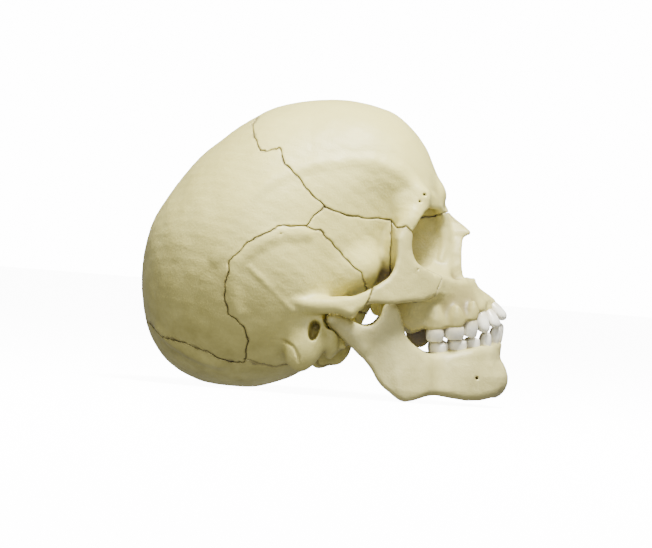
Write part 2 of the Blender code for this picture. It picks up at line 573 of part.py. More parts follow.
def boolean(item, other, operation):
    cut = item.modifiers.new(other.name, "BOOLEAN")
    cut.operation, cut.solver = operation, "MANIFOLD"
    if isinstance(other, bpy.types.Collection):
        cut.operand_type, cut.collection = "COLLECTION", other
    else:
        cut.object = other
    return evaluated(item)


def crossing_faces(mesh):
    """The faces of a mesh that pass through another face without touching it at a corner."""
    mesh.faces.ensure_lookup_table()
    tree = BVHTree.FromBMesh(mesh)
    pairs = [(mesh.faces[i], mesh.faces[j]) for i, j in tree.overlap(tree) if i < j]
    return {face for pair in pairs if not set(pair[0].verts) & set(pair[1].verts) for face in pair}


def unfolded(item):
    """Smooth out the spots where thinning has pushed a thin wall through itself."""
    mesh = bmesh.new()
    mesh.from_mesh(item.data)
    for _ in range(SMOOTH_ROUNDS):
        folded = list({v for face in crossing_faces(mesh) for v in face.verts})
        if not folded:
            break
        bmesh.ops.smooth_vert(mesh, verts=folded, factor=0.5, use_axis_x=True, use_axis_y=True, use_axis_z=True)
    mesh.to_mesh(item.data)
    mesh.free()
    return item


def rough_mesh(name, bone, faces):
    """The surface of a bone, thinned to a number of triangles, alike on both sides."""
    points, quads = bone.surface()
    data = bpy.data.meshes.new(name)
    data.from_pydata(points, [], quads.tolist())
    item = bpy.data.objects.new(name, data)
    CUTTERS.objects.link(item)
    thin = item.modifiers.new("thin", "DECIMATE")
    thin.ratio = faces / (2 * len(quads))
    thin.use_symmetry, thin.symmetry_axis = True, "Y"
    thin.use_collapse_triangulate = True
    return unfolded(tidied(evaluated(item), 0.05))


def islands(item):
    """The separate closed surfaces of an object, each a bmesh, with the size of its box."""
    whole = bmesh.new()
    whole.from_mesh(item.data)
    whole.verts.ensure_lookup_table()
    label = [-1] * len(whole.verts)
    count = 0
    for start in whole.verts:
        if label[start.index] >= 0:
            continue
        stack = [start]
        label[start.index] = count
        while stack:
            for edge in stack.pop().link_edges:
                for v in edge.verts:
                    if label[v.index] < 0:
                        label[v.index] = count
                        stack.append(v)
        count += 1
    out = []
    for k in range(count):
        piece = whole.copy()
        piece.verts.ensure_lookup_table()
        bmesh.ops.delete(piece, geom=[v for v in piece.verts if label[v.index] != k], context="VERTS")
        out.append(piece)
    whole.free()
    return out


def largest(item):
    """Keep only the largest closed surface of an object."""
    pieces = sorted(islands(item), key=lambda piece: abs(piece.calc_volume(signed=True)))
    for piece in pieces[:-1]:
        piece.free()
    pieces[-1].to_mesh(item.data)
    pieces[-1].free()
    return item


def tooth(mesh, kind, at, width, depth, height, root, lean, upper, side, turn, rng):
    """One tooth: a crown with its cusps, a neck and a tapering root, set in a mesh."""
    start = len(mesh.verts)
    bmesh.ops.create_uvsphere(mesh, u_segments=TOOTH_SIDES, v_segments=TOOTH_RINGS, radius=1)
    mesh.verts.ensure_lookup_table()
    width, height = width * rng.uniform(0.97, 1.0), height * rng.uniform(0.98, 1.02)
    for v in mesh.verts[start:]:
        x, y, z = v.co
        # z = 1 is the biting edge, z below 0 is the root
        ring = math.hypot(x, y)
        around = Vector((x, y, 0)) / ring if ring > 1e-4 else Vector((0, 0, 0))
        t = (z + 1) / 2
        if t > 0.45:
            up = (t - 0.45) / 0.55
            reach = 0.86 + 0.22 * math.sin(math.pi * min(up * 0.8 + 0.05, 1))
            if kind == "incisor":
                thick = (1 - 0.45 * up, 1.0 + 0.05 * up)
            elif kind == "canine":
                thick = (1 - 0.45 * up, 1.0 - 0.42 * up**2)
            else:
                thick = (1 - 0.22 * up, 1.0 - 0.06 * up)
            fill = min(1.0, ring * (1.9 if kind in ("incisor", "canine") else 2.6)) if up < 0.98 else 0.0
            v.co = Vector((around.x * fill * thick[0] * reach * depth / 2,
                           around.y * fill * thick[1] * reach * width / 2, up * height - height / 2))
        else:
            down = 1 - t / 0.45
            taper = 0.86 - 0.45 * down
            fill = min(1.0, ring * 1.6)
            v.co = Vector((around.x * fill * taper * depth / 2, around.y * fill * taper * width / 2,
                           -height / 2 - down * root))
    flip = -1 if upper else 1
    # local x points out of the mouth, y along the row, z to the biting edge
    pose = Matrix.Translation((at[0], side * at[1], at[2]))
    pose = pose @ Matrix.Rotation(side * math.radians(turn + rng.uniform(-3, 3)), 4, "Z")
    pose = pose @ Matrix.Rotation(flip * math.radians(lean), 4, "Y")
    pose = pose @ Matrix.Diagonal((1, 1, flip, 1))
    bmesh.ops.transform(mesh, matrix=pose, verts=mesh.verts[start:])


def tooth_row(name, teeth, upper, side, where):
    """The teeth of one side of a jaw, each a closed solid."""
    rng = random.Random(TOOTH_SEED + (2 if upper else 0))
    for i, (kind, at, width, depth, height, root, lean) in enumerate(teeth):
        before, after = teeth[max(i - 1, 0)][1], teeth[min(i + 1, len(teeth) - 1)][1]
        turn = math.degrees(math.atan2(before[0] - after[0], after[1] - before[1])) if i else 8
        mesh = bmesh.new()
        tooth(mesh, kind, at, width, depth, height, root, lean, upper, side, turn, rng)
        bmesh.ops.triangulate(mesh, faces=mesh.faces)
        bmesh.ops.recalc_face_normals(mesh, faces=mesh.faces)
        add_object(f"tooth_{name}_{side}_{i}", mesh, where)


def fewer_faces(mesh):
    """Join the faces of a mesh that lie in one plane, as far as that leaves it closed, and split it up again."""
    for angle in FLAT:
        joined = mesh.copy()
        bmesh.ops.dissolve_limit(joined, angle_limit=math.radians(angle), verts=joined.verts, edges=joined.edges)
        bmesh.ops.triangulate(joined, faces=joined.faces)
        if all(edge.is_manifold for edge in joined.edges) and not crossing_faces(joined):
            return joined
        joined.free()
    return mesh


def bone_material(name):
    """A matt bone colour of the node's own."""
    made = bpy.data.materials.new(name)
    made.use_nodes = True
    shader = made.node_tree.nodes["Principled BSDF"]
    colour = BONES.get(name.split("_")[0], (None, JAW_COLOUR))[1]
    shader.inputs["Base Color"].default_value = (*colour, 1)
    shader.inputs["Roughness"].default_value = 0.55
    made.diffuse_color = (*colour, 1)
    return made


PARTS = collection("Human skull")
CUTTERS = collection("Cutters")
CUTTERS.hide_render = True
SEAMS = collection("Cuts between bones")
SEAMS.hide_render = True

# The whole cranium and the whole lower jaw
cranium = rough_mesh("cranium_whole", build_cranium(GRID), CRANIUM_FACES)
largest(cranium)
mandible = rough_mesh("lower_jaw_whole", build_lower_jaw(GRID), JAW_FACES)
largest(mandible)

# The cuts between the bones of the cranium
around_parietal = CORONAL + BEHIND_TEMPLE[1:] + SQUAMOSAL[1:] + LAMBDOID[1:]
below_crown = [(-60, 90), (-80, 60), (-85.4, 33.5), (-91.9, 34.7), (-98.1, 41.9), (-112, 46.5), (-112, 172)]
cuts = [
    sheet("cut_coronal", side_rows(around_parietal, -80, 80)),
    slab("cut_sagittal", [(x + 0.5, z) for x, z in CORONAL[:4]] + below_crown),
    sheet("cut_frontal", side_rows(BEHIND_SOCKET, -80, 80)),
    sheet("cut_nose_root", side_rows(NOSE_ROOT, -29.5, 29.5)),
    sheet("cut_behind_face", side_rows(BEHIND_FACE, -51, 51)),
    sheet("cut_floor", [((x, -y, z), (x, y, z)) for x, y, z in FLOOR_SEAM]),
    sheet("cut_septum", side_rows(SEPTUM, -SEPTUM_REACH, SEPTUM_REACH), closed=True),
    slab("cut_palate", [(37.4, 76.6), (35.4, 66), (38.3, 58), (50, 60.5), (62, 65), (72.2, 68.9), (77, 72.6),
                        (84, 74), (96, 60), (96, 34), (32, 34), (32.6, 62), (32.1, 76.6)]),
    slab("cut_bridge", [(70.2, 91.1), (66.2, 91.1), (57.2, 87.3), (44.2, 81.7), (37.3, 76.5), (32.2, 76.3),
                        (32.6, 98.9), (46, 99.6), (56, 101.6), (64, 103.4), (74, 107.4), (86, 94), (86, 84),
                        (73.7, 85.8)]),
    sheet("cut_behind_bridge", side_rows([(59.5, 104), (62.5, 92), (63.1, 90.2)], -6.4, 6.4)),
]
for side, label in ((-1, "right"), (1, "left")):
    under_nasal = side_rows([(61.8, 92.8), (70, 89.8), (80, 88.3)], side * 2.3, side * 6.4)
    cheek_edge = [((x, side * (21 + (66 - x) * 0.06), 99.5), (x, side * (44 + (66 - x) * 0.06), 48))
                  for x in (32.6, 50, 70)]
    cuts += [
        sheet("cut_outer_brow_" + label, side_rows(OUTER_BROW, side * 28.5, side * 70)),
        sheet("cut_behind_eye_" + label, [((x, side * 12.2, z), (x, side * (80 if z > 73 else 57), z))
                                          for x, z in BEHIND_EYE]),
        slab("cut_socket_" + label, NOSE_ROOT[:3] + OUTER_BROW[:0:-1], side * 29),
        sheet("cut_under_nasal_" + label, under_nasal),
        sheet("cut_arch_" + label, side_rows(ARCH_SEAM, side * 50, side * 75)),
        sheet("cut_ear_" + label, [((x, side * y, 4), (x, side * y, top)) for x, y, top in EAR_SEAM]),
        sheet("cut_cheek_" + label, cheek_edge),
        sheet("cut_nasal_" + label, [((x, side * 4.2, 107), (x, side * 5.4, 84)) for x in (56, 68, 84)]),
    ]
for cut in cuts:
    CUTTERS.objects.unlink(cut)
    SEAMS.objects.link(cut)
boolean(cranium, SEAMS, "DIFFERENCE")

# The bones by name, each the piece nearest to its point
pieces = [piece for piece in islands(cranium) if abs(piece.calc_volume()) > SMALLEST]
bones = {}
for name, (spot, colour) in BONES.items():
    for side, label in ((-1, "_right"), (1, "_left")) if name in PAIRED else ((1, ""),):
        point = Vector((spot[0], side * spot[1], spot[2]))
        away = [BVHTree.FromBMesh(piece).find_nearest(point)[3] for piece in pieces]
        piece = pieces.pop(away.index(min(away)))
        bones[name + label] = add_object(name + label, fewer_faces(piece), PARTS)
fewer = bmesh.new()
fewer.from_mesh(mandible.data)
bones["mandible"] = add_object("mandible", fewer, PARTS)

# Teeth, each sunk in its jaw and made one piece with it
for jaw, teeth, upper, sides in (("maxilla_right", UPPER_TEETH, True, (-1,)),
                                 ("maxilla_left", UPPER_TEETH, True, (1,)),
                                 ("mandible", LOWER_TEETH, False, (-1, 1))):
    row = collection("Teeth of " + jaw)
    row.hide_render = True
    for side in sides:
        tooth_row(jaw, teeth, upper, side, row)
    largest(boolean(bones[jaw], row, "UNION"))

# Lay the skull on its back and the corners of its jaw, over the middle of the floor, and turn it to metres
turn = 0
for _ in range(6):
    now = Matrix.Rotation(-turn, 4, "Y")
    back, front = (min((now @ v.co for v in bones[name].data.vertices), key=lambda p: p.z)
                   for name in ("occipital", "mandible"))
    turn += math.atan2(back.z - front.z, front.x - back.x)
tilt = Matrix.Rotation(-turn, 4, "Y")
for item in bones.values():
    item.data.transform(tilt)
ends = [v.co for item in bones.values() for v in item.data.vertices]
low, high = (Vector([f(v[axis] for v in ends) for axis in range(3)]) for f in (min, max))
shift = Vector((-(low.x + high.x) / 2, 0, -low.z))
for name, item in bones.items():
    item.data.transform(Matrix.Scale(MM, 4) @ Matrix.Translation(shift))
    item.data.materials.append(bone_material(name))
for item in [thing for thing in bpy.data.objects if thing.name not in bones]:
    item.data.transform(Matrix.Scale(MM, 4) @ Matrix.Translation(shift) @ tilt)
    item.display_type = "WIRE"
    item.hide_render = True
print("placed", round(math.degrees(turn), 3), [round(c, 3) for c in shift], [round(c, 2) for c in high - low])
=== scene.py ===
"""Human skull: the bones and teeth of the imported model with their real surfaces, seen from its right side.

The forms are worked out in millimetres in the pose of the photo, as in the model: +X is the way the face looks,
+Z is up and the middle plane is y = 0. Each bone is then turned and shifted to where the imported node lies.
"""
import math
import random

import bmesh
import bpy
import numpy as np
import openvdb
from mathutils import Matrix, Vector


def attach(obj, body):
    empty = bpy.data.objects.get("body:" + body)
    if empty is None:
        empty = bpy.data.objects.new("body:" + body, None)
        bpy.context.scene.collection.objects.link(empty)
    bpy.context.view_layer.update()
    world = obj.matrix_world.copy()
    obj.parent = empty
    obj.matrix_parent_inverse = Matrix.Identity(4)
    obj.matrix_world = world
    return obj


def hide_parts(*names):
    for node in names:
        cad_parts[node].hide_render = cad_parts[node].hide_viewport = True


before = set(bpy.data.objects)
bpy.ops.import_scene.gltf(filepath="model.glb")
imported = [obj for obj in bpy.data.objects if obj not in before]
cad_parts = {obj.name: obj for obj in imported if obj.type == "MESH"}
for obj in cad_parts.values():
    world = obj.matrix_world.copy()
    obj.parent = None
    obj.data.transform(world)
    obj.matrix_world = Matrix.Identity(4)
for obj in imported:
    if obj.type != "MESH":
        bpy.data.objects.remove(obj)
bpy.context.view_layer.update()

# The braincase and face as one form
# A grid of distances to the bone on one side of the skull, built up from rounded forms blended into each other.
# The braincase comes first, then brow, cheek, ear region, jaws, nose and eye sockets.
STEP = 0.8  # spacing of the sample points
WALL = 6.5  # thickness of the braincase
PITCH = 24  # the line from ear to eye, nose up
JOINT_ROOM = 2.1  # space kept round the head and the neck of the lower jaw
FAR = 30.0  # distance given to empty space
MM = 0.001

# Outline of the braincase and its base in the middle plane, from the brow over the top and round underneath.
# Along the crown it is measured in the photo.
CENTRE = (-24.75, 85.25)
VAULT = [
    (62.0, 107.0), (61.2, 117.5), (57.5, 127.5), (53.0, 138.0), (46.5, 147.6), (38.5, 155.3), (29.7, 160.0),
    (12.1, 164.4), (-1.1, 165.0), (-18.7, 163.4), (-31.9, 160.0), (-40.7, 155.7), (-49.5, 150.2), (-58.3, 143.8),
    (-67.1, 137.0), (-75.9, 128.5), (-84.7, 117.4), (-92.5, 106.5), (-98.3, 95.5), (-101.9, 82.5), (-103.3, 68.0),
    (-102.9, 54.0), (-100.2, 40.5), (-94.5, 27.8), (-86.0, 18.8), (-75.9, 12.7), (-64.0, 9.0), (-50.0, 7.4),
    (-38.0, 8.0), (-22.0, 12.5), (-6.0, 20.0), (7.0, 28.5), (15.0, 52.0), (25.0, 62.0), (34.0, 84.0), (50.0, 99.0),
]
HALF_BREADTH = 63.0  # of the braincase over the ears, before the bumps below
# x, z, reach and height of the bulges and hollows of its side
SIDE_BUMPS = [(-52, 95, 38, 8.5), (-20, 55, 22, 1.0), (12, 95, 20, -5.0), (45, 140, 20, 1.0)]


def smooth_min(a, b, blend):
    """The smaller of two distances, rounded over where they meet."""
    h = np.clip(0.5 + 0.5 * (b - a) / blend, 0, 1)
    return b + (a - b) * h - blend * h * (1 - h)


def smooth_max(a, b, blend):
    """The larger of two distances, rounded over where they meet."""
    return -smooth_min(-a, -b, blend)


def turned(x, y, z, centre, pitch, yaw):
    """Coordinates about a centre, along axes pitched nose up and then yawed towards the side, in degrees."""
    x, y, z = x - centre[0], y - centre[1], z - centre[2]
    a, b = math.radians(pitch), math.radians(yaw)
    x, z = x * math.cos(a) + z * math.sin(a), -x * math.sin(a) + z * math.cos(a)
    x, y = x * math.cos(b) + y * math.sin(b), -x * math.sin(b) + y * math.cos(b)
    return x, y, z


def through(points, steps):
    """A smooth curve through the points, as a list of many more."""
    p = np.asarray(points, float)
    ends = np.vstack([2 * p[0] - p[1], p, 2 * p[-1] - p[-2]])
    t = np.linspace(0, 1, steps, endpoint=False)[:, None]
    out = []
    for a, b, c, d in zip(ends, ends[1:], ends[2:], ends[3:]):
        bend, twist = 2 * a - 5 * b + 4 * c - d, 3 * b - a - 3 * c + d
        out.append(0.5 * (2 * b + (c - a) * t + bend * t**2 + twist * t**3))
    return np.vstack([*out, p[-1:]])


def closed_curve(points, steps=5):
    """The same for a curve that comes back to its start."""
    return through([points[-1], *points, points[0]], steps)[steps:-steps - 1]


class Form:
    """A distance function and the box that holds its surface."""

    def __init__(self, distance, low, high):
        self.distance, self.low, self.high = distance, low, high


def egg(centre, radii, pitch=0, yaw=0):
    """An ellipsoid."""

    def distance(x, y, z):
        u, v, w = turned(x, y, z, centre, pitch, yaw)
        a, b, c = radii
        out = np.sqrt((u / a) ** 2 + (v / b) ** 2 + (w / c) ** 2)
        slope = np.sqrt((u / a**2) ** 2 + (v / b**2) ** 2 + (w / c**2) ** 2)
        return out * (out - 1) / np.maximum(slope, 1e-6)

    return Form(distance, [c - max(radii) for c in centre], [c + max(radii) for c in centre])


def rod(points, radii, flat=1.0, steps=4):
    """A smooth rod through the points. flat above 1 makes it broad from side to side, below 1 narrow."""
    path = through([(*p, r) for p, r in zip(points, radii)], steps)
    reach = path[:, 3].max() * max(flat, 1.0)

    def distance(x, y, z):
        best = FAR
        y = y / flat
        for (ax, ay, az, ar), (bx, by, bz, br) in zip(path, path[1:]):
            ay, by = ay / flat, by / flat
            ex, ey, ez = bx - ax, by - ay, bz - az
            long = max(ex * ex + ey * ey + ez * ez, 1e-9)
            t = np.clip(((x - ax) * ex + (y - ay) * ey + (z - az) * ez) / long, 0, 1)
            d = np.sqrt((x - ax - t * ex) ** 2 + (y - ay - t * ey) ** 2 + (z - az - t * ez) ** 2)
            best = np.minimum(best, d - ar - t * (br - ar))
        return best * min(flat, 1.0)

    return Form(distance, path[:, :3].min(0) - reach, path[:, :3].max(0) + reach)


def outline_distance(points, u, v):
    """Signed distance in a plane to a closed outline, negative inside."""
    best = np.full(np.broadcast(u, v).shape, 1e9, np.float32)
    inside = np.zeros(best.shape, bool)
    for (ax, ay), (bx, by) in zip(points, np.roll(points, -1, 0)):
        ex, ey = bx - ax, by - ay
        t = np.clip(((u - ax) * ex + (v - ay) * ey) / max(ex * ex + ey * ey, 1e-9), 0, 1)
        best = np.minimum(best, (u - ax - t * ex) ** 2 + (v - ay - t * ey) ** 2)
        if ay != by:
            inside ^= ((ay > v) != (by > v)) & (u < (bx - ax) * (v - ay) / (by - ay) + ax)
    best = np.sqrt(best)
    return np.where(inside, -best, best)


def line_distance(points, u, v):
    """Distance in a plane to an open line."""
    best = np.full(np.broadcast(u, v).shape, 1e9, np.float32)
    for (ax, ay), (bx, by) in zip(points, points[1:]):
        ex, ey = bx - ax, by - ay
        t = np.clip(((u - ax) * ex + (v - ay) * ey) / max(ex * ex + ey * ey, 1e-9), 0, 1)
        best = np.minimum(best, (u - ax - t * ex) ** 2 + (v - ay - t * ey) ** 2)
    return np.sqrt(best)


def side_plate(outline, middle, half, blend):
    """A plate with an outline seen from the side, its mid surface at y = middle(x, z) and its half thickness."""
    points = closed_curve(outline)

    def distance(x, y, z):
        edge = outline_distance(points, x, z)
        return smooth_max(edge, np.abs(y - middle(x, z)) - half(x, z), blend)

    low, high = points.min(0), points.max(0)
    return Form(distance, [low[0], 0, low[1]], [high[0], 70, high[1]])


class Bone:
    """Sample points in a box over one side of the skull, with the distance to the bone built so far."""

    def __init__(self, low, high, step):
        self.step = step
        self.axes = [np.arange(a, b + step, step, dtype=np.float32) for a, b in zip(low, high)]
        self.d = np.full([len(a) for a in self.axes], FAR, np.float32)

    def grid(self, where=(slice(None),) * 3):
        a, b, c = (axis[w] for axis, w in zip(self.axes, where))
        return a[:, None, None], b[None, :, None], c[None, None, :]

    def blend(self, form, amount, sign):
        """Join a form to the bone, or take it out of it, inside the form's own box."""
        reach = amount + 3 * self.step
        where = []
        for axis, low, high in zip(self.axes, form.low, form.high):
            first, last = np.searchsorted(axis, [low - reach, high + reach])
            where.append(slice(max(first - 1, 0), last + 1))
        where = tuple(where)
        d = form.distance(*self.grid(where))
        self.d[where] = sign * smooth_min(sign * self.d[where], d, amount)

    def add(self, form, amount=2.0):
        self.blend(form, amount, 1)

    def cut(self, form, amount=1.0):
        self.blend(form, amount, -1)

    def surface(self):
        """Corners in millimetres and faces of both sides."""
        both = np.concatenate([self.d[:, :0:-1], self.d], 1)
        grid = openvdb.FloatGrid(background=FAR)
        grid.copyFromArray(np.ascontiguousarray(np.clip(both, -3 * self.step, 3 * self.step)))
        points, _, quads = grid.convertToPolygons(isovalue=0.0, adaptivity=0.0)
        origin = np.array([self.axes[0][0], -self.axes[1][-1], self.axes[2][0]])
        return points * self.step + origin, quads[:, ::-1]


def braincase(x, y, z):
    """Distance to the braincase, a rounded form with the outline VAULT in the middle plane."""
    path = closed_curve(VAULT, 4) - CENTRE
    order = np.argsort(np.arctan2(path[:, 1], path[:, 0]))
    turn = np.radians(np.arange(360))
    towards, reach = np.arctan2(path[order, 1], path[order, 0]), np.hypot(*path[order].T)
    sharp = np.interp(turn, towards, reach, period=2 * math.pi)
    # away from the middle plane the outline loses its corners
    spread = np.exp(-0.5 * (np.arange(-40, 41) / 11) ** 2)
    soft = np.convolve(np.tile(sharp, 3), spread / spread.sum(), "same")[360:720]
    u, w = x - CENTRE[0], z - CENTRE[1]
    angle = np.arctan2(w, u) % (2 * math.pi)
    half = HALF_BREADTH
    for at_x, at_z, width, height in SIDE_BUMPS:
        half = half + height * np.exp(-((x - at_x) ** 2 + (z - at_z) ** 2) / (2 * width * width))
    outward = np.clip(y / half, 0, 1)
    limit = np.interp(angle, turn, sharp, period=2 * math.pi) * (1 - outward)
    limit = (limit + np.interp(angle, turn, soft, period=2 * math.pi) * outward).astype(np.float32)
    rho = np.sqrt(u * u + w * w) / limit
    boxy = 2.35 + 0.55 * np.clip((x + 10) / 50, 0, 1)
    f = (rho**boxy + (y / half) ** boxy) ** (1 / boxy)
    slope = np.sqrt((rho / limit) ** 2 + (y / half**2) ** 2) / np.maximum(np.sqrt(rho**2 + (y / half) ** 2), 1e-3)
    return (f - 1) / np.maximum(slope, 1e-3)


def orbit(x, y, z):
    """Eye socket: a rounded square opening, narrowing to a point behind."""
    u, v, w = turned(x, y, z, (51.0, 32.0, 89.5), 0, 22)
    deep, front = np.clip(-u / 44, 0, 1), np.clip(u, 0, 30)
    wide = 19.0 - 14.8 * deep**1.3
    tall = 16.4 - 12.4 * deep**1.3
    v = v - 1.5 * deep + 0.12 * front
    w = w + 15 * deep + front * np.interp(w, [-12, 4], [0.5, 0.25]).astype(np.float32)
    ring = ((np.abs(v) / wide) ** 2.6 + (np.abs(w) / tall) ** 2.6) ** (1 / 2.6)
    return smooth_max((ring - 1) * np.minimum(wide, tall), np.maximum(u - 26, -u - 43), 2)


def nose(x, y, z):
    """Nasal cavity: pear-shaped in front, running back to the throat."""
    u, _, w = turned(x, y, z, (74, 0, 76), PITCH, 0)
    half = np.interp(w, [-9.5, -6, 0, 8, 16, 24], [8, 11.5, 11.8, 9.5, 6.5, 4.0]).astype(np.float32)
    tall = np.maximum(-8.4 - w, w - 20)
    return smooth_max(smooth_max(y - half, tall, 4), np.maximum(u - 22, -u - 52), 2)


def arch_walk(points, x, y, shift):
    """Distance in plan to the line of a tooth row, moved forwards by shift."""
    return line_distance(points, x - shift, y)


UPPER_ROW = through([(86, -6), (84.5, 5), (81, 11.5), (74.5, 18.5), (65, 24.5), (53, 28), (41, 29), (35, 27)], 4)
LOWER_ROW = through([(90, -8), (91, 0), (90, 8), (86, 15.5), (79, 22), (69, 28), (57, 34), (45, 40), (35, 45),
                     (23, 51)], 4)


def upper_jaw(x, y, z):
    """The tooth-bearing part of the upper jaw, leaning forwards at the front."""
    shift = np.clip((x - 55) / 30, 0, 1) * np.interp(z, [36, 54, 58, 62, 68], [15, 0, -5, -10, -14])
    around = arch_walk(UPPER_ROW, x, y, shift) - 5.4 - 0.8 * np.clip((60 - x) / 20, 0, 1)
    floor = np.interp(x, [36, 44, 50, 68, 77, 83, 88], [43, 37.8, 39.5, 41.5, 45.5, 50.5, 56.5])
    return smooth_max(around, np.maximum(floor - z, z - 66), 3)


def lower_jaw(x, y, z):
    """The body of the lower jaw, from the chin to under the last tooth."""
    shift = np.interp(z, [0, 6, 13, 22, 30, 36], [-1, 0.0, 0.2, -3.2, -4.6, -4.0]) * np.clip((x - 50) / 35, 0, 1)
    inward = np.interp(z, [6, 28], [0, 6]) * np.clip((78 - x) / 16, 0, 1)
    around = arch_walk(LOWER_ROW, x, y + inward, shift) - 5.6 + 0.6 * np.clip((z - 20) / 10, 0, 1)
    low = np.interp(x, [30, 40, 51, 57, 66, 74, 82, 91, 97], [6, 2, 3.6, 3.4, 1.6, 0.2, 0.2, 2, 7])
    top = np.interp(x, [30, 42, 52, 62, 74, 85, 92], [30, 29, 25.3, 27, 28.5, 31, 32])
    return smooth_max(smooth_max(around, np.maximum(low - z, z - top), 5), 37 - x, 5)


def face_block(x, y, z):
    """The middle of the face, between the sockets and behind the cheeks."""
    side = closed_curve([
        (56, 112), (63, 104), (66, 97), (68.5, 88), (70, 76), (72, 66), (62, 48), (46, 38), (37, 40), (33, 50),
        (22, 60), (8, 70), (6, 90), (20, 104), (40, 112),
    ])
    plan = closed_curve([
        (72, -12), (70, 8), (66, 18), (64, 27), (59, 36), (50, 43), (43, 47), (38, 46), (31, 38), (20, 34), (4, 36),
        (-6, 20), (-6, -12),
    ])
    lean = (z - 75) * 0.10
    narrow = 0.9 * np.clip(59 - z, 0, 22)
    return smooth_max(outline_distance(side, x, z), outline_distance(plan, x + lean, y + narrow), 4)


def nose_side(x, z):
    """How far out from the middle the side wall of the nose stands."""
    _, _, w = turned(x, 0, z, (74, 0, 76), PITCH, 0)
    half = np.interp(w, [-9, 0, 8, 14, 18, 22], [14.5, 13.8, 11.0, 8.0, 5.5, 3.5])
    edge = np.interp(z, [64, 78, 90, 93, 97.5, 103], [74, 72, 73.2, 77, 70, 64.5])
    return half + np.clip(edge - x, 0, 20) * 0.28


def cheek_side(x, z):
    """How far out from the middle the cheekbone and its arch stand."""
    line = through([(-14, 57), (0, 61.5), (12, 63.5), (25, 61.8), (36, 56.8), (46, 49.5), (53, 42), (60, 33),
                    (68, 22)], 4)
    return np.interp(x, line[:, 0], line[:, 1]) - 0.10 * (z - 62)


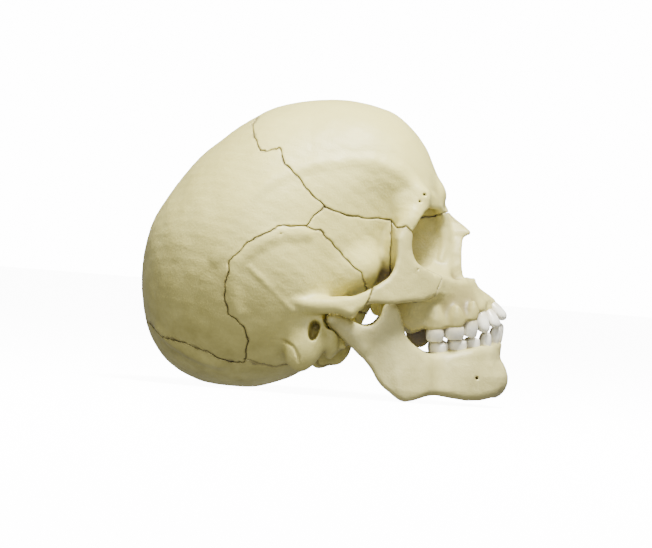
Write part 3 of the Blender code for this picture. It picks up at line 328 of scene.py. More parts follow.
def build_cranium(step):
    """The braincase and the face, without the lower jaw."""
    bone = Bone((-108, 0, -2), (104, 76, 170), step)
    x, y, z = bone.grid()
    bone.d = braincase(x, y, z).astype(np.float32)
    # the temples, pressed in behind the eye sockets
    bone.cut(egg((40, 67, 87), (22, 22, 36), PITCH), 12)
    bone.add(egg((9, 37, 70.5), (19, 18.5, 14), PITCH), 9)
    shell = bone.d.copy()

    # brow, root of the nose and the outer side of the socket
    bone.add(egg((56.5, 9, 112.5), (6.5, 13, 6.5), -40), 6)
    bone.add(egg((50, 30, 109), (7, 17, 6.5), -40, 25), 6)
    bone.add(rod([(47, 43, 107), (43.5, 48.5, 99), (39.5, 50, 91), (39, 49.5, 82), (40.5, 49, 74)],
                 [6.5, 5.5, 4.6, 4.4, 5.2], 0.8), 5)
    bone.add(Form(face_block, (-6, 0, 38), (76, 50, 112)), 4)
    bone.add(Form(lambda x, y, z: np.maximum(orbit(x, y, z) - 3, (x - 38) * 0.914 + (z - 85) * 0.407),
                  (4, 2, 56), (56, 56, 114)), 3)

    # behind the upper jaw and under the cheek it is open
    bone.cut(egg((18, 46, 51), (12, 22, 11), 0), 6)
    bone.cut(egg((30, 52, 50), (17, 18, 15), 10), 4)

    # cheekbone, its arch and the spread of the arch over the ear
    bone.add(side_plate([(-14, 53.5), (0, 54.5), (8, 56.5), (18, 59.5), (27, 64.5), (33, 70), (36, 79), (37, 90),
                         (44, 90), (43.5, 82), (46, 75), (54, 73), (60, 75), (61, 66), (57, 58), (50, 54.5),
                         (42, 54), (32, 53), (22, 53), (14, 48), (11.5, 47), (8, 48), (2, 50.5), (-8, 50)],
                        cheek_side, lambda x, z: 2.6 + 0.8 * (1 + np.tanh((x - 41) / 7)), 3.5), 4)
    bone.add(rod([(-26, 56, 54), (-14, 59.5, 52.5), (-2, 60.5, 52.5), (7, 61, 52.5)], [3, 4, 4.2, 3.6], 0.9), 5)
    bone.add(egg((10, 55, 49.5), (5, 9.5, 4.2), -20), 3)

    # the knob behind the ear, the rim of the ear canal, the canal and the spike below it
    bone.add(egg((-13, 51, 33), (10.5, 8.5, 17), -20), 6)
    bone.add(rod([(-8.4, 55.5, 44.4), (-3, 54.5, 43.6), (1, 51, 38), (1.6, 48.5, 32), (-0.6, 45, 25)],
                 [1.8, 2.1, 2.2, 2.0, 1.5], 1.5), 1.6)
    bone.add(egg((-1, 40, 33), (5, 14, 8), 20), 4)
    bone.cut(egg((-8.9, 58, 38.8), (2.9, 12, 5.6), -12), 1.2)
    bone.cut(rod([(-8.6, 64, 41.5), (-7.5, 46, 40.5)], [3.0, 2.2]), 1.2)
    bone.add(rod([(1, 41, 32), (7.5, 41.5, 29.8)], [2.2, 0.9]), 1)
    # the groove behind the knob
    bone.cut(rod([(-22, 46, 16), (-12, 40, 18)], [3.2, 3.2]), 3)

    # the knobs the neck joins to, and the floor in front of them
    bone.add(egg((5.5, 17, 28), (10, 5.5, 5.5), 60, -25), 3)
    bone.add(egg((-2, 21, 24), (9, 5.0, 4.5), 35, -20), 3)
    bone.add(egg((2, 30, 38), (13, 16, 10), 20, 30), 5)
    bone.add(rod([(4, 0, 36), (14, 0, 56), (20, 0, 66)], [9, 10, 12]), 5)
    # two plates hanging behind the upper jaw
    bone.add(side_plate([(21, 70), (22, 56), (23, 48), (27, 46.5), (34, 50), (38, 60), (38, 70)],
                        lambda x, z: 21 + 0.35 * (34 - x), lambda x, z: 1.5, 1), 1.5)
    bone.add(side_plate([(24, 70), (25, 56), (27, 44), (30, 40), (33, 44), (38, 56), (38, 70)],
                        lambda x, z: 13.0, lambda x, z: 1.4, 1), 1.5)

    # upper jaw, and the roof of the mouth between the tooth rows
    bone.add(Form(upper_jaw, (34, 0, 34), (90, 36, 68)), 4)
    bone.add(rod([(70.5, 3, 63), (75, 3, 59), (79.5, 3, 55)], [5, 4.6, 4.4], 1.5), 4)
    bone.cut(egg((55, 0, 43), (27, 20, 9.5), PITCH * 0.9), 3)
    bone.add(side_plate([(36, 58), (46, 55), (50, 46), (54, 39), (54.5, 33.5), (51, 29.8), (46.5, 29.6), (43, 33),
                         (41, 40), (38, 47)], lambda x, z: 14.0, lambda x, z: 1.6, 1), 2)

    # nose: the cavity, the spine below it, the side walls and the bridge
    bone.cut(Form(nose, (24, 0, 42), (86, 16, 108)), 1)
    bone.add(rod([(71, 0, 64.4), (76, 0, 65.2), (80, 0, 66.6)], [3.4, 2.3, 0.9], 0.8), 1.5)
    bone.add(side_plate([(58, 108), (64, 103), (69.5, 97.5), (76.5, 93), (75.5, 90.5), (73.2, 89), (72.3, 84),
                         (72, 78), (72.4, 70), (74, 64), (66, 60), (60, 66), (58, 76), (58, 90)],
                        nose_side, lambda x, z: 2.0, 1.5), 2.5)
    bone.add(rod([(60, 0, 105), (64, 0, 101), (68, 0.5, 97.8), (72.5, 1, 94.6), (76, 1.5, 92)],
                 [4.5, 2.6, 2.1, 1.8, 1.4], 1.8), 2)
    bone.cut(Form(orbit, (0, 2, 52), (82, 66, 120)), 2.6)
    bone.add(rod([(56.5, 13, 103), (61, 13.5, 95), (62.5, 14.5, 86), (60.5, 17.5, 77)], [1.6, 1.5, 1.4, 1.6]), 2)

    # a thin wall down the middle of the nose
    bone.add(side_plate([(69, 89), (67, 97), (50, 94), (36, 84), (32, 70), (36, 56), (50, 55), (66, 61), (73, 67),
                         (71, 78)], lambda x, z: 0.0, lambda x, z: 1.0, 0.5), 1)

    # the socket of the jaw joint, with room for the jaw's head and neck
    bone.cut(jaw_head(JOINT_ROOM), 1.5)
    bone.cut(jaw_neck(JOINT_ROOM), 1)

    # the hollow of the braincase, kept clear of every other surface and of the thick base
    floor = np.interp(x, [-70, -35, -22, -10, 0, 12, 24, 40, 60], [0, 13, 24, 42, 57, 61, 70, 100, 118]) - z
    hollow = smooth_max(smooth_max(shell + WALL, floor.astype(np.float32), 8), bone.d + 4.5, 3)
    bone.d = smooth_max(bone.d, -hollow, 1.5)
    bone.cut(rod([(-18, 0, 44), (-4, 0, 12)], [15.5, 16.5], 0.9), 2.5)
    return bone


def jaw_head(grown):
    """The knob of the lower jaw that turns in its socket."""
    return egg((2.4, 49.5, 44.9), (4.1 + grown, 9.6 + grown, 3.9 + grown), 0, 12)


def jaw_neck(grown):
    return rod([(4, 49, 43), (12, 48.5, 37), (18, 48, 30)], [3.6 + grown, 3.6 + grown, 3.2 + grown], 1.1)


def build_lower_jaw(step):
    """The lower jaw: a body in plan, and a flat branch each side rising to the joint."""
    bone = Bone((-8, 0, -3), (103, 66, 62), step)
    bone.add(Form(lower_jaw, (30, 0, -1), (98, 52, 34)), 2)
    bone.add(side_plate([(2, 46.5), (0, 43), (3.5, 38.5), (8.3, 33), (12.7, 29), (17.6, 23.7), (22, 18), (25.3, 12),
                         (29, 7.6), (34, 4.2), (39.5, 1.8), (46, 3), (52, 8), (53, 20), (50, 25.5), (44, 31.6),
                         (40.8, 37), (39, 44), (36.5, 51.5), (32.3, 54.6), (28.8, 51.5), (26.9, 46.2), (23.6, 42.4),
                         (19.5, 41.3), (15, 42.4), (9, 45)],
                        lambda x, z: 48.5 - 0.0040 * x * x,
                        lambda x, z: 3.1 + 2.2 * np.clip((x - 22) / 26, 0, 1) * np.clip((36 - z) / 22, 0, 1), 3), 7)
    bone.add(jaw_head(0), 3)
    bone.add(jaw_neck(0), 4)
    bone.add(egg((91.5, 0, 12), (5.0, 13, 9)), 5)
    return bone


# Where one bone ends and the next begins
# The seams are lines seen from the side or from above, as in the model. On the real skull most of them run in
# small zigzags, so the line between two bones is shaken by a few waves of different length.
# Lines of the cuts, seen from the side
CORONAL = [(-41.0, 172), (-40.0, 155), (-42.4, 150), (-41.0, 143), (-37.5, 135.5), (-27, 136.5), (-24.5, 128.5),
           (-18, 122), (-11, 112.5), (-2.75, 105.6)]
BEHIND_TEMPLE = [(-2.75, 105.6), (-9, 99.7), (-12.8, 94.7)]
SQUAMOSAL = [(-12.8, 94.7), (-25.3, 95.4), (-35.7, 90.7), (-43.5, 87), (-53.9, 76), (-55.5, 66), (-57.2, 57.8),
             (-54.5, 48.4), (-46.8, 41.2), (-44, 34.1), (-46.8, 20.9)]
LAMBDOID = [(-46.8, 20.9), (-59.5, 23.4), (-72, 29.7), (-85.4, 34), (-91.9, 35.2), (-98.1, 42.4), (-112, 47)]
BEHIND_SOCKET = [(-2.75, 105.6), (7, 101.5), (16.7, 99.6), (25.2, 99.2), (33, 98.5)]
OUTER_BROW = [(33, 98.5), (36.2, 94.2), (41.2, 95), (44.5, 90.5), (50, 88)]
NOSE_ROOT = [(33, 98.5), (46, 99.2), (56, 101.2), (64, 103), (74, 107)]
BEHIND_EYE = [(-12.8, 94.7), (-5.7, 92.9), (2.8, 83.3), (11.3, 74), (16.7, 70.2), (19.5, 62), (19.5, 38)]
BEHIND_FACE = [(33, 98.5), (33, 85), (32.5, 76), (33, 62), (35, 50), (37, 34)]
ARCH_SEAM = [(25, 68), (17, 46)]
# The same seen from above, with the height each stretch reaches
EAR_SEAM = [(-47.4, 62, 21.4), (-47, 52, 21.2), (-46.6, 44.5, 21.9), (-44, 43.5, 34.1), (-43.9, 43.4, 40),
            (-38, 40.5, 44), (-27, 36, 48), (-10, 29, 60), (4, 19, 80), (12, 12.4, 92), (21, 12.4, 92)]
# The cut across the floor of the braincase: x, half its width, z
FLOOR_SEAM = [(-8, 28.2, 92), (0, 22.4, 64), (4, 19.4, 60.4), (12, 12.9, 53.2), (20, 12.9, 46)]
SEPTUM = [(70.5, 91.5), (66, 91.5), (57, 87.8), (44, 82.2), (37, 77), (35, 66), (38, 57.5), (50, 60), (62, 64.5),
          (72.5, 68.3), (77, 72), (74, 86)]
SEPTUM_REACH = 3.4  # how far the cut round the thin wall of the nose reaches to each side
GAP = 0.26  # width of the seams
ROOT_OUT = {"incisor": 1.1, "canine": 1.4, "premolar": 0.8, "molar": 0.4}  # how far out a root swells its jaw
# Teeth of the right half, from the middle outwards: centre of the crown, width along the row, depth across it,
# height of the crown, length of the root, and how far the tooth leans forwards at its tip, in degrees
UPPER_TEETH = [
    ("incisor", (92.2, 4.4, 48.3), 8.2, 8.2, 11.5, 9.5, 50),
    ("incisor", (89.0, 12.0, 44.4), 7.2, 7.2, 11.2, 9.5, 40),
    ("canine", (83.4, 17.9, 42.5), 7.8, 8.4, 12.2, 10.5, 28),
    ("premolar", (76.6, 23.8, 39.3), 7.4, 8.8, 10.0, 9.0, -12),
    ("molar", (67.7, 27.7, 37.5), 10.6, 10.8, 7.8, 9.0, -18),
    ("molar", (57.0, 29.5, 36.3), 9.9, 10.4, 7.8, 9.0, -18),
]
LOWER_TEETH = [
    ("incisor", (92.8, 2.8, 37.1), 5.2, 6.0, 11.0, 9.0, 14),
    ("incisor", (90.4, 8.3, 35.7), 6.2, 6.2, 10.0, 9.0, 14),
    ("canine", (85.2, 13.6, 32.7), 7.2, 7.4, 10.2, 9.5, 12),
    ("premolar", (78.1, 18.0, 30.5), 7.8, 7.8, 8.8, 8.5, 6),
    ("molar", (69.6, 22.6, 30.4), 10.2, 10.0, 7.8, 8.5, 18),
    ("molar", (59.3, 25.2, 29.1), 10.2, 9.8, 7.6, 8.5, 18),
]
ZIGZAG = 1.15  # reach of the zigzags
WANDER = 0.55  # reach of the slow bends of a seam
UNEVEN = 0.16  # height of the waves in the bone
# Distances from the middle plane where the outer part of an area starts and its inner part ends
BY_SOCKET, BY_ARCH, BY_CORE = (29, 33), (51, 57), (12.4, 15)


def wave(t):
    """A triangle wave from -1 to 1."""
    return 4 * np.abs(t - np.floor(t + 0.5)) - 1


def zigzag(x, y, z):
    """Teeth of a seam, about 3 mm apart and never quite alike."""
    slow = 0.65 + 0.35 * np.sin(0.31 * x + 0.23 * y + 0.27 * z)
    bent = 0.9 * np.sin(0.37 * x - 0.29 * y) + 0.8 * np.sin(0.41 * z + 0.33 * y)
    return slow * (0.65 * wave((0.62 * x + 0.60 * y + 0.60 * z + bent) / 3.3)
                   + 0.35 * wave((0.5 * x - 0.75 * y + 0.8 * z + bent) / 1.9))


def wandering(x, y, z):
    """Slow bends that keep a seam from running straight."""
    return 0.5 * np.sin(0.53 * x + 0.36 * z + 1.3) + 0.5 * np.sin(0.61 * z - 0.44 * x + 0.3 * y)


def root_bumps(bone, teeth, upper):
    """The swellings that the roots of the teeth make on the outer side of a jaw."""
    for i, (kind, at, width, depth, height, root, lean) in enumerate(teeth):
        before, after = teeth[max(i - 1, 0)][1], teeth[min(i + 1, len(teeth) - 1)][1]
        turn = math.atan2(before[0] - after[0], after[1] - before[1]) if i else 0.14
        flip, tip = (-1 if upper else 1), math.radians(lean)
        down = Vector((-math.sin(tip) * math.cos(turn), -math.sin(tip) * math.sin(turn), -flip * math.cos(tip)))
        out = Vector((math.cos(turn), math.sin(turn), 0)) * ROOT_OUT[kind]
        neck = Vector(at) + down * (height / 2 + 1.5)
        ends = [neck + out, neck + out + down * root * 0.4, neck + down * root * 0.9]
        bone.add(rod([tuple(p) for p in ends], [width * 0.38, width * 0.32, width * 0.15]), 4.5)


def outside(bone, x, z):
    """How far out the surface stands where the bone is seen at x, z."""
    i, k = (int(round((p - bone.axes[axis][0]) / bone.step)) for p, axis in ((x, 0), (z, 2)))
    return float(bone.axes[1][np.nonzero(bone.d[i, :, k] < 0)[0][-1]])


def hole(bone, x, z, radius, depth):
    """A small hole bored from the outside where the bone is seen at x, z."""
    y = outside(bone, x, z)
    bone.cut(rod([(x, y + 3, z), (x - 0.2 * depth, y - depth, z)], [radius, radius * 0.6]), 0.4)


def ridge(bone, line, height, width, blend=4):
    """A low ridge along a line seen from the side."""
    bone.add(rod([(x, outside(bone, x, z) + height - width, z) for x, z in line], [width] * len(line)), blend)


def add_details(bone):
    """Small holes for nerves and vessels, low ridges, and the roots that show through the upper jaw."""
    # the edge of the muscle that fills the temple, the edge of the plate over the ear and a line across it
    ridge(bone, [(50, 112), (42, 120), (28, 128), (6, 129), (-16, 125), (-36, 115), (-51, 97), (-60, 78)],
          -0.1, 3.0)
    ridge(bone, [(-14, 91), (-26, 91), (-37, 86), (-46, 79), (-51, 70), (-52, 60), (-49, 50)], 0.25, 2.6, 5)
    ridge(bone, [(-43, 73), (-36, 66), (-28, 58), (-20, 50)], 0.3, 1.0, 2)
    ridge(bone, [(-60, 22), (-72, 26), (-84, 33), (-92, 40)], -0.1, 3.0)
    x, y, z = bone.grid()
    broad = np.sin(0.21 * x + 0.5) * np.sin(0.19 * z + 0.13 * y)
    fine = 0.5 * np.sin(0.47 * x + 0.31 * z) * np.sin(0.53 * z - 0.4 * y)
    bone.d += (UNEVEN * (broad + fine)).astype(np.float32)
    root_bumps(bone, UPPER_TEETH, True)
    for spot in ((56.6, 69.0, 0.8, 2), (47.3, 71.5, 0.7, 1.6), (51.4, 112.2, 1.1, 4), (48.7, 108.4, 0.9, 4),
                 (-25.9, 90.8, 0.6, 2)):
        hole(bone, *spot)
    # the groove down the knob and the crest over the ear
    groove = [(-31, 34), (-24.5, 33), (-20, 30), (-17.5, 25.5), (-17, 21.5)]
    bone.cut(rod([(x, outside(bone, x, z) + 0.2, z) for x, z in groove], [0.5, 0.8, 0.8, 0.8, 0.5]), 0.6)
    bone.add(rod([(-26, 59, 58), (-14, 62.3, 53.6), (-4, 63.0, 53), (6, 62.6, 53.4)], [1.2, 1.6, 1.7, 1.3]), 3)


def area(points, x, z):
    """Distance to the edge of an area drawn from the side, negative inside."""
    return outline_distance(np.array(points, float), x, z).astype(np.float32)


skull = build_cranium(STEP)
add_details(skull)
x, y, z = skull.grid()
jags = zigzag(x, y, z).astype(np.float32)
bends = (WANDER * wandering(x, y, z)).astype(np.float32)
# the seam across the crown and the one at the back are the most jagged, the edge of the temple plate the least
jagged = np.clip((np.abs(x + 12) - 4) / 20, 0.15, 1) + 0 * z
jagged = np.where((z < 88) & (x > -58) & (z > 24), 0.35, jagged)
lace = (jagged * (z > 20) * (x < 2)).astype(np.float32)
top, bottom, ahead, behind = 190, -20, 130, -130

parietal = area([(-41, top), *CORONAL[1:], *BEHIND_TEMPLE[1:], *SQUAMOSAL[1:], *LAMBDOID[1:], (behind, 50),
                 (behind, top)], x, z) + ZIGZAG * jagged * jags + bends
# from here on an area runs a little way into the ones before it, which are then taken off
behind_crown = [(-46, top), *[(p - 4, r - 4) for p, r in CORONAL[1:-1]], (-7.8, 106.7)]
over_nose = area([*behind_crown, *BEHIND_SOCKET[1:], *NOSE_ROOT[1:], (ahead, 107), (ahead, top)], x, z)
over_socket = area([*behind_crown, *BEHIND_SOCKET[1:], *OUTER_BROW[1:], (ahead, 88), (ahead, top)], x, z)
frontal = np.minimum(np.maximum(over_nose, y - BY_SOCKET[1]), np.maximum(over_socket, BY_SOCKET[0] - y))
frontal = np.maximum(frontal + 0.35 * jags + 0.8 * bends, -parietal)
behind_face = [*BEHIND_FACE[:0:-1], (33, 98.5)]
face = area([*behind_face, (33, top), (ahead, top), (ahead, bottom), (37, bottom)], x, z)
arch = area([*ARCH_SEAM, (13, 35), (ahead, 35), (ahead, 100), (33, 100)], x, z)
front = np.minimum(np.maximum(face, y - BY_ARCH[1]), np.maximum(arch, BY_ARCH[0] - y))
front = np.maximum(front + 0.3 * jags + 0.6 * bends, -frontal)
# the wing beside the temple and the core of the bone under it
under_face = [(x + 5, z) for x, z in behind_face]
wing = area([(-17.8, 96), *BEHIND_EYE[1:], (19.5, bottom), (42, bottom), *under_face, (38, 130), (-25, 130)], x, z)
floor_line = [(p, r) for p, _, r in FLOOR_SEAM]
core = area([(-8, 130), *floor_line, (45, 30), *under_face, (38, 130)], x, z)
wing = wing + 0.45 * jags + bends
across = (0.9 * np.sin(0.5 * y)).astype(np.float32)
core = core + across
sphenoid = np.minimum(np.maximum(wing, BY_CORE[0] - y), np.maximum(core, y - BY_CORE[1]))
sphenoid = np.maximum(np.maximum(sphenoid, y - 57 - 40 * (z > 73)), np.maximum(-frontal, -parietal))
sphenoid = np.maximum(sphenoid, -front)
beside_ear = area([(p, q) for p, q, _ in EAR_SEAM] + [(60, 12.4), (60, 90), (-47.4, 90)], x, y)
behind_ear = area([(p, q) for p, q, _ in EAR_SEAM[4:]] + [(60, 12.4), (60, 90), (-75, 90), (-75, 43.5)], x, y)
beside_ear = np.minimum(beside_ear, np.maximum(behind_ear, 21.8 - z)) + 0.4 * jags + bends
cheek = (y - 44 - (66 - x) * 0.06 + (z - 48) * 0.447) / 1.1 + 0.3 * jags + bends
zygomatic = np.maximum(front, -cheek)
nasal = area([(59.5, 104), (62.2, 92.8), (70, 89.8), (90, 88.3), (90, 115), (59.5, 115)], x, z)
nasal = np.maximum(np.maximum(nasal, y - 4.2 - (107 - z) * 0.052), -frontal)
vomer = np.maximum(area(SEPTUM, x, z), y - SEPTUM_REACH)
maxilla = np.maximum(np.maximum(front, cheek), np.maximum(-nasal, -vomer))
ground = area([*floor_line, (40, bottom), (behind, bottom), (behind, 130), (-8, 130)], x, z) - across
rest = np.maximum(np.maximum(-parietal, -frontal), np.maximum(-sphenoid, -front))
temporal = np.maximum(rest, beside_ear)
occipital = np.maximum(np.maximum(rest, -beside_ear), ground)
AREAS = {"frontal": frontal, "parietal": parietal, "occipital": occipital, "temporal": temporal,
         "sphenoid": sphenoid, "zygomatic": zygomatic, "maxilla": maxilla, "nasal": nasal, "vomer": vomer}


def blurred(d, step, reach):
    """A grid of distances, averaged over a cube around each point."""
    n = max(int(round(reach / step)), 1)
    out = np.clip(d, -4, 4)
    out = np.concatenate([out[:, n:0:-1], out], 1)
    for axis in range(3):
        out = np.moveaxis(out, axis, 0)
        padded = np.concatenate([np.repeat(out[:1], n + 1, 0), out, np.repeat(out[-1:], n, 0)])
        sums = padded.cumsum(0, dtype=np.float64)
        out = np.moveaxis(((sums[2 * n + 1:] - sums[:-2 * n - 1]) / (2 * n + 1)).astype(np.float32), 0, axis)
    return out[:, n:]


def sampled(grid, points, bone):
    """The values of a grid at points, those of the other side being the same."""
    sides = (points[:, 0], np.abs(points[:, 1]), points[:, 2])
    place = [(p - axis[0]) / bone.step for p, axis in zip(sides, bone.axes)]
    low = [np.clip(np.floor(p).astype(int), 0, n - 2) for p, n in zip(place, grid.shape)]
    out = 0
    for corner in range(8):
        weight, index = 1, []
        for axis in range(3):
            bit = corner >> axis & 1
            share = np.clip(place[axis] - low[axis], 0, 1)
            weight = weight * (share if bit else 1 - share)
            index.append(low[axis] + bit)
        out = out + weight * grid[tuple(index)]
    return out


# From the pose of the photo to the pose that the skull rests in, as the model is placed
REST_TURN = math.radians(4.508)
REST_SHIFT = Vector((5.902, 0.0, -3.382))
TO_REST = Matrix.Scale(MM, 4) @ Matrix.Translation(REST_SHIFT) @ Matrix.Rotation(-REST_TURN, 4, "Y")


def finished(name, mesh, data):
    """A smooth object, laid down as the model rests."""
    bmesh.ops.recalc_face_normals(mesh, faces=mesh.faces)
    for face in mesh.faces:
        face.smooth = True
    mesh.to_mesh(data)
    mesh.free()
    data.transform(TO_REST)
    item = bpy.data.objects.new(name, data)
    bpy.context.scene.collection.objects.link(item)
    return item


def surface(name, bone, d, seam, hollow_shade, side):
    """A mesh of the zero level of a grid: both sides when side is 0, else the left (1) or the right (-1) only."""
    both = np.concatenate([d[:, :0:-1], d], 1) if side == 0 else d
    grid = openvdb.FloatGrid(background=FAR)
    edge = 3 * bone.step
    both = np.pad(np.clip(both, -edge, edge), 1, constant_values=edge)
    grid.copyFromArray(np.ascontiguousarray(both))
    points, _, quads = grid.convertToPolygons(isovalue=0.0, adaptivity=0.0)
    first = -bone.axes[1][-1] if side == 0 else bone.axes[1][0]
    points = (points - 1) * bone.step + np.array([bone.axes[0][0], first, bone.axes[2][0]])
    values = {"seam": sampled(seam, points, bone), "hollow_shade": sampled(hollow_shade, points, bone)}
    if bone is skull:
        values["lace"] = sampled(lace, points, bone)
    if side < 0:
        points[:, 1] *= -1
    data = bpy.data.meshes.new(name)
    data.from_pydata(points, [], quads.tolist())
    for key, value in values.items():
        data.attributes.new(key, "FLOAT", "POINT").data.foreach_set("value", value.astype(np.float32))
    mesh = bmesh.new()
    mesh.from_mesh(data)
    item = finished(name, mesh, data)
    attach(item, "root")
    return item


class Value:
    """A number or a colour in a material, with sums and products written as in algebra."""

    def __init__(self, tree, socket):
        self.tree, self.socket = tree, socket

    def math(self, kind, *others, clamp=False):
        node = self.tree.nodes.new("ShaderNodeMath")
        node.operation, node.use_clamp = kind, clamp
        for slot, value in zip(node.inputs, (self, *others)):
            if isinstance(value, Value):
                self.tree.links.new(value.socket, slot)
            else:
                slot.default_value = value
        return Value(self.tree, node.outputs[0])

    def __add__(self, other):
        return self.math("ADD", other)

    def __sub__(self, other):
        return self.math("SUBTRACT", other)

    def __mul__(self, other):
        return self.math("MULTIPLY", other)

    def __truediv__(self, other):
        return self.math("DIVIDE", other)

    def between(self, low, high):
        """0 below low, 1 above high, and even in between."""
        return self.math("SUBTRACT", low).math("DIVIDE", high - low, clamp=True)


class Looks:
    """A Principled material and the nodes that feed it."""

    def __init__(self, name):
        self.material = bpy.data.materials.new(name)
        self.material.use_nodes = True
        self.tree = self.material.node_tree
        self.shader = self.tree.nodes["Principled BSDF"]

    def attribute(self, name):
        node = self.tree.nodes.new("ShaderNodeAttribute")
        node.attribute_name = name
        return Value(self.tree, node.outputs["Fac"])

    def place(self):
        """The three coordinates of a point on the object, in metres."""
        node = self.tree.nodes.new("ShaderNodeTexCoord")
        split = self.tree.nodes.new("ShaderNodeSeparateXYZ")
        self.tree.links.new(node.outputs["Object"], split.inputs[0])
        return [Value(self.tree, output) for output in split.outputs]

    def noise(self, scale, detail=2.0, rough=0.5, stretch=None):
        node = self.tree.nodes.new("ShaderNodeTexNoise")
        node.inputs["Scale"].default_value = scale
        node.inputs["Detail"].default_value = detail
        node.inputs["Roughness"].default_value = rough
        where = self.tree.nodes.new("ShaderNodeTexCoord").outputs["Object"]
        if stretch:
            mapping = self.tree.nodes.new("ShaderNodeMapping")
            mapping.inputs["Scale"].default_value = stretch
            self.tree.links.new(where, mapping.inputs["Vector"])
            where = mapping.outputs["Vector"]
        self.tree.links.new(where, node.inputs["Vector"])
        return Value(self.tree, node.outputs["Fac"])

    def mix(self, amount, a, b):
        """A colour that goes from a to b."""
        node = self.tree.nodes.new("ShaderNodeMix")
        node.data_type = "RGBA"
        self.tree.links.new(amount.socket, node.inputs[0])
        for socket, colour in zip(node.inputs[6:8], (a, b)):
            if isinstance(colour, Value):
                self.tree.links.new(colour.socket, socket)
            else:
                socket.default_value = (*colour, 1)
        return Value(self.tree, node.outputs[2])

    def feed(self, name, value):
        self.tree.links.new(value.socket, self.shader.inputs[name])

    def bump(self, height, depth, strength=1.0):
        node = self.tree.nodes.new("ShaderNodeBump")
        node.inputs["Strength"].default_value = strength
        node.inputs["Distance"].default_value = depth
        self.tree.links.new(height.socket, node.inputs["Height"])
        self.tree.links.new(node.outputs[0], self.shader.inputs["Normal"])


def bone_looks(name, light, mid, shade):
    """Dry cast bone: cream and patchy, brown along the seams, with painted shade that turns it olive towards the
    base and back and brown in the hollows.
    """
    looks = Looks(name)
    x, y, z = looks.place()
    patches = looks.noise(22, 3).between(0.35, 0.68)
    clouds = looks.noise(95, 4, 0.6).between(0.3, 0.75)
    grain = looks.noise(900, 3, 0.6)
    colour = looks.mix(patches * 0.5 + clouds * 0.35, light, mid)
    # painted shade: darker towards the bottom and the back of the skull
    low = (z * -1).between(-0.085, -0.01) * 0.8 + (x * -1).between(0.02, 0.11) * 0.4
    colour = looks.mix(low.math("MULTIPLY", 1.0, clamp=True) * (clouds * 0.5 + 0.5), colour, shade)
    # painted shade: the deeper a point lies in a hollow, the darker and then browner it is painted
    hollow = looks.attribute("hollow_shade")
    colour = looks.mix(hollow.between(0.1, 1.0) * 0.55, colour, shade)
    colour = looks.mix(hollow.between(0.5, 2.2) * (clouds * 0.2 + 0.8), colour, HOLLOW_SHADE_BROWN)
    ragged = looks.noise(520, 2, 0.6) * 0.0011
    seam = (looks.attribute("seam") * -0.001 + ragged).between(-0.00035, 0.0002)
    colour = looks.mix(seam * (clouds * 0.6 + 0.25), colour, STAIN)
    # a second fine zigzag beside the jagged seams
    lace = looks.attribute("lace").between(0.36, 0.9)
    along = (x * 520 - y * 760 + z * 810 + looks.noise(260, 2) * 5).math("PINGPONG", 1.0)
    off = (looks.attribute("seam") - along * 1.5).math("ABSOLUTE")
    colour = looks.mix((off * -1).between(-0.32, -0.05) * lace * patches * 0.85, colour, STAIN)
    colour = looks.mix(grain.between(0.62, 0.8) * 0.25, colour, shade)
    looks.feed("Base Color", colour)
    looks.feed("Roughness", clouds * 0.12 + grain * 0.12 + 0.36)
    looks.shader.inputs["Coat Weight"].default_value = 0.06
    looks.shader.inputs["Coat Roughness"].default_value = 0.35
    streaks = looks.noise(260, 2, 0.5, (0.35, 1.0, 1.0))
    looks.bump(grain * 0.35 + clouds * 0.7 + streaks * 0.5, 0.0007, 0.55)
    return looks.material


# Braincase bones
# Thin curved plates of dry bone with a hard even skin, cream on the crown, with painted shade making them darker
# towards the base.
# Each takes the place of its imported node.
HOLLOW_SHADE_BROWN = (0.115, 0.078, 0.032)  # painted shade: the brown of the deep hollows
STAIN = (0.17, 0.135, 0.06)  # dark line along a seam
CREAM, SAND, OLIVE = (0.79, 0.715, 0.245), (0.66, 0.585, 0.17), (0.33, 0.29, 0.075)
# painted shade: how deep each point lies in a hollow, with spots of extra painted shade in the temple above the
# arch, behind the last upper teeth, below the eye socket and on the brow, and a little less round the ear canal
skull_hollow_shade = -blurred(skull.d, STEP, 4.0)
x, y, z = skull.grid()
for spot, reach, amount in (((31, 38, 68), 9, 2.2), ((48, 14, 34), 9, 4.0), ((-9, 56, 40), 4.5, -0.8),
                            ((74, 25, 55), 15, 1.2), ((57, 32, 104), 15, 1.3)):
    near = ((x - spot[0]) ** 2 + (y - spot[1]) ** 2 + (z - spot[2]) ** 2) / reach**2
    skull_hollow_shade = skull_hollow_shade + (amount * np.exp(-near)).astype(np.float32)
braincase_looks = bone_looks("braincase_bone", CREAM, SAND, OLIVE)


def bone_piece(name, looks):
    """One bone of the cranium, or its right and left one."""
    area = AREAS[name]
    shape = np.maximum(skull.d, area + GAP / 2).astype(np.float32)
    seam = (area * -1).astype(np.float32)
    for side, label in ((-1, "_right"), (1, "_left")) if name in PAIRED else ((0, ""),):
        d = shape
        if side:
            # a paired bone ends at the middle plane
            d = np.maximum(shape, GAP / 2 - skull.grid()[1])
        item = surface("skull_" + name + label, skull, d, seam, skull_hollow_shade, side)
        largest_piece(item)
        item.data.materials.append(looks)
        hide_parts(name + label)


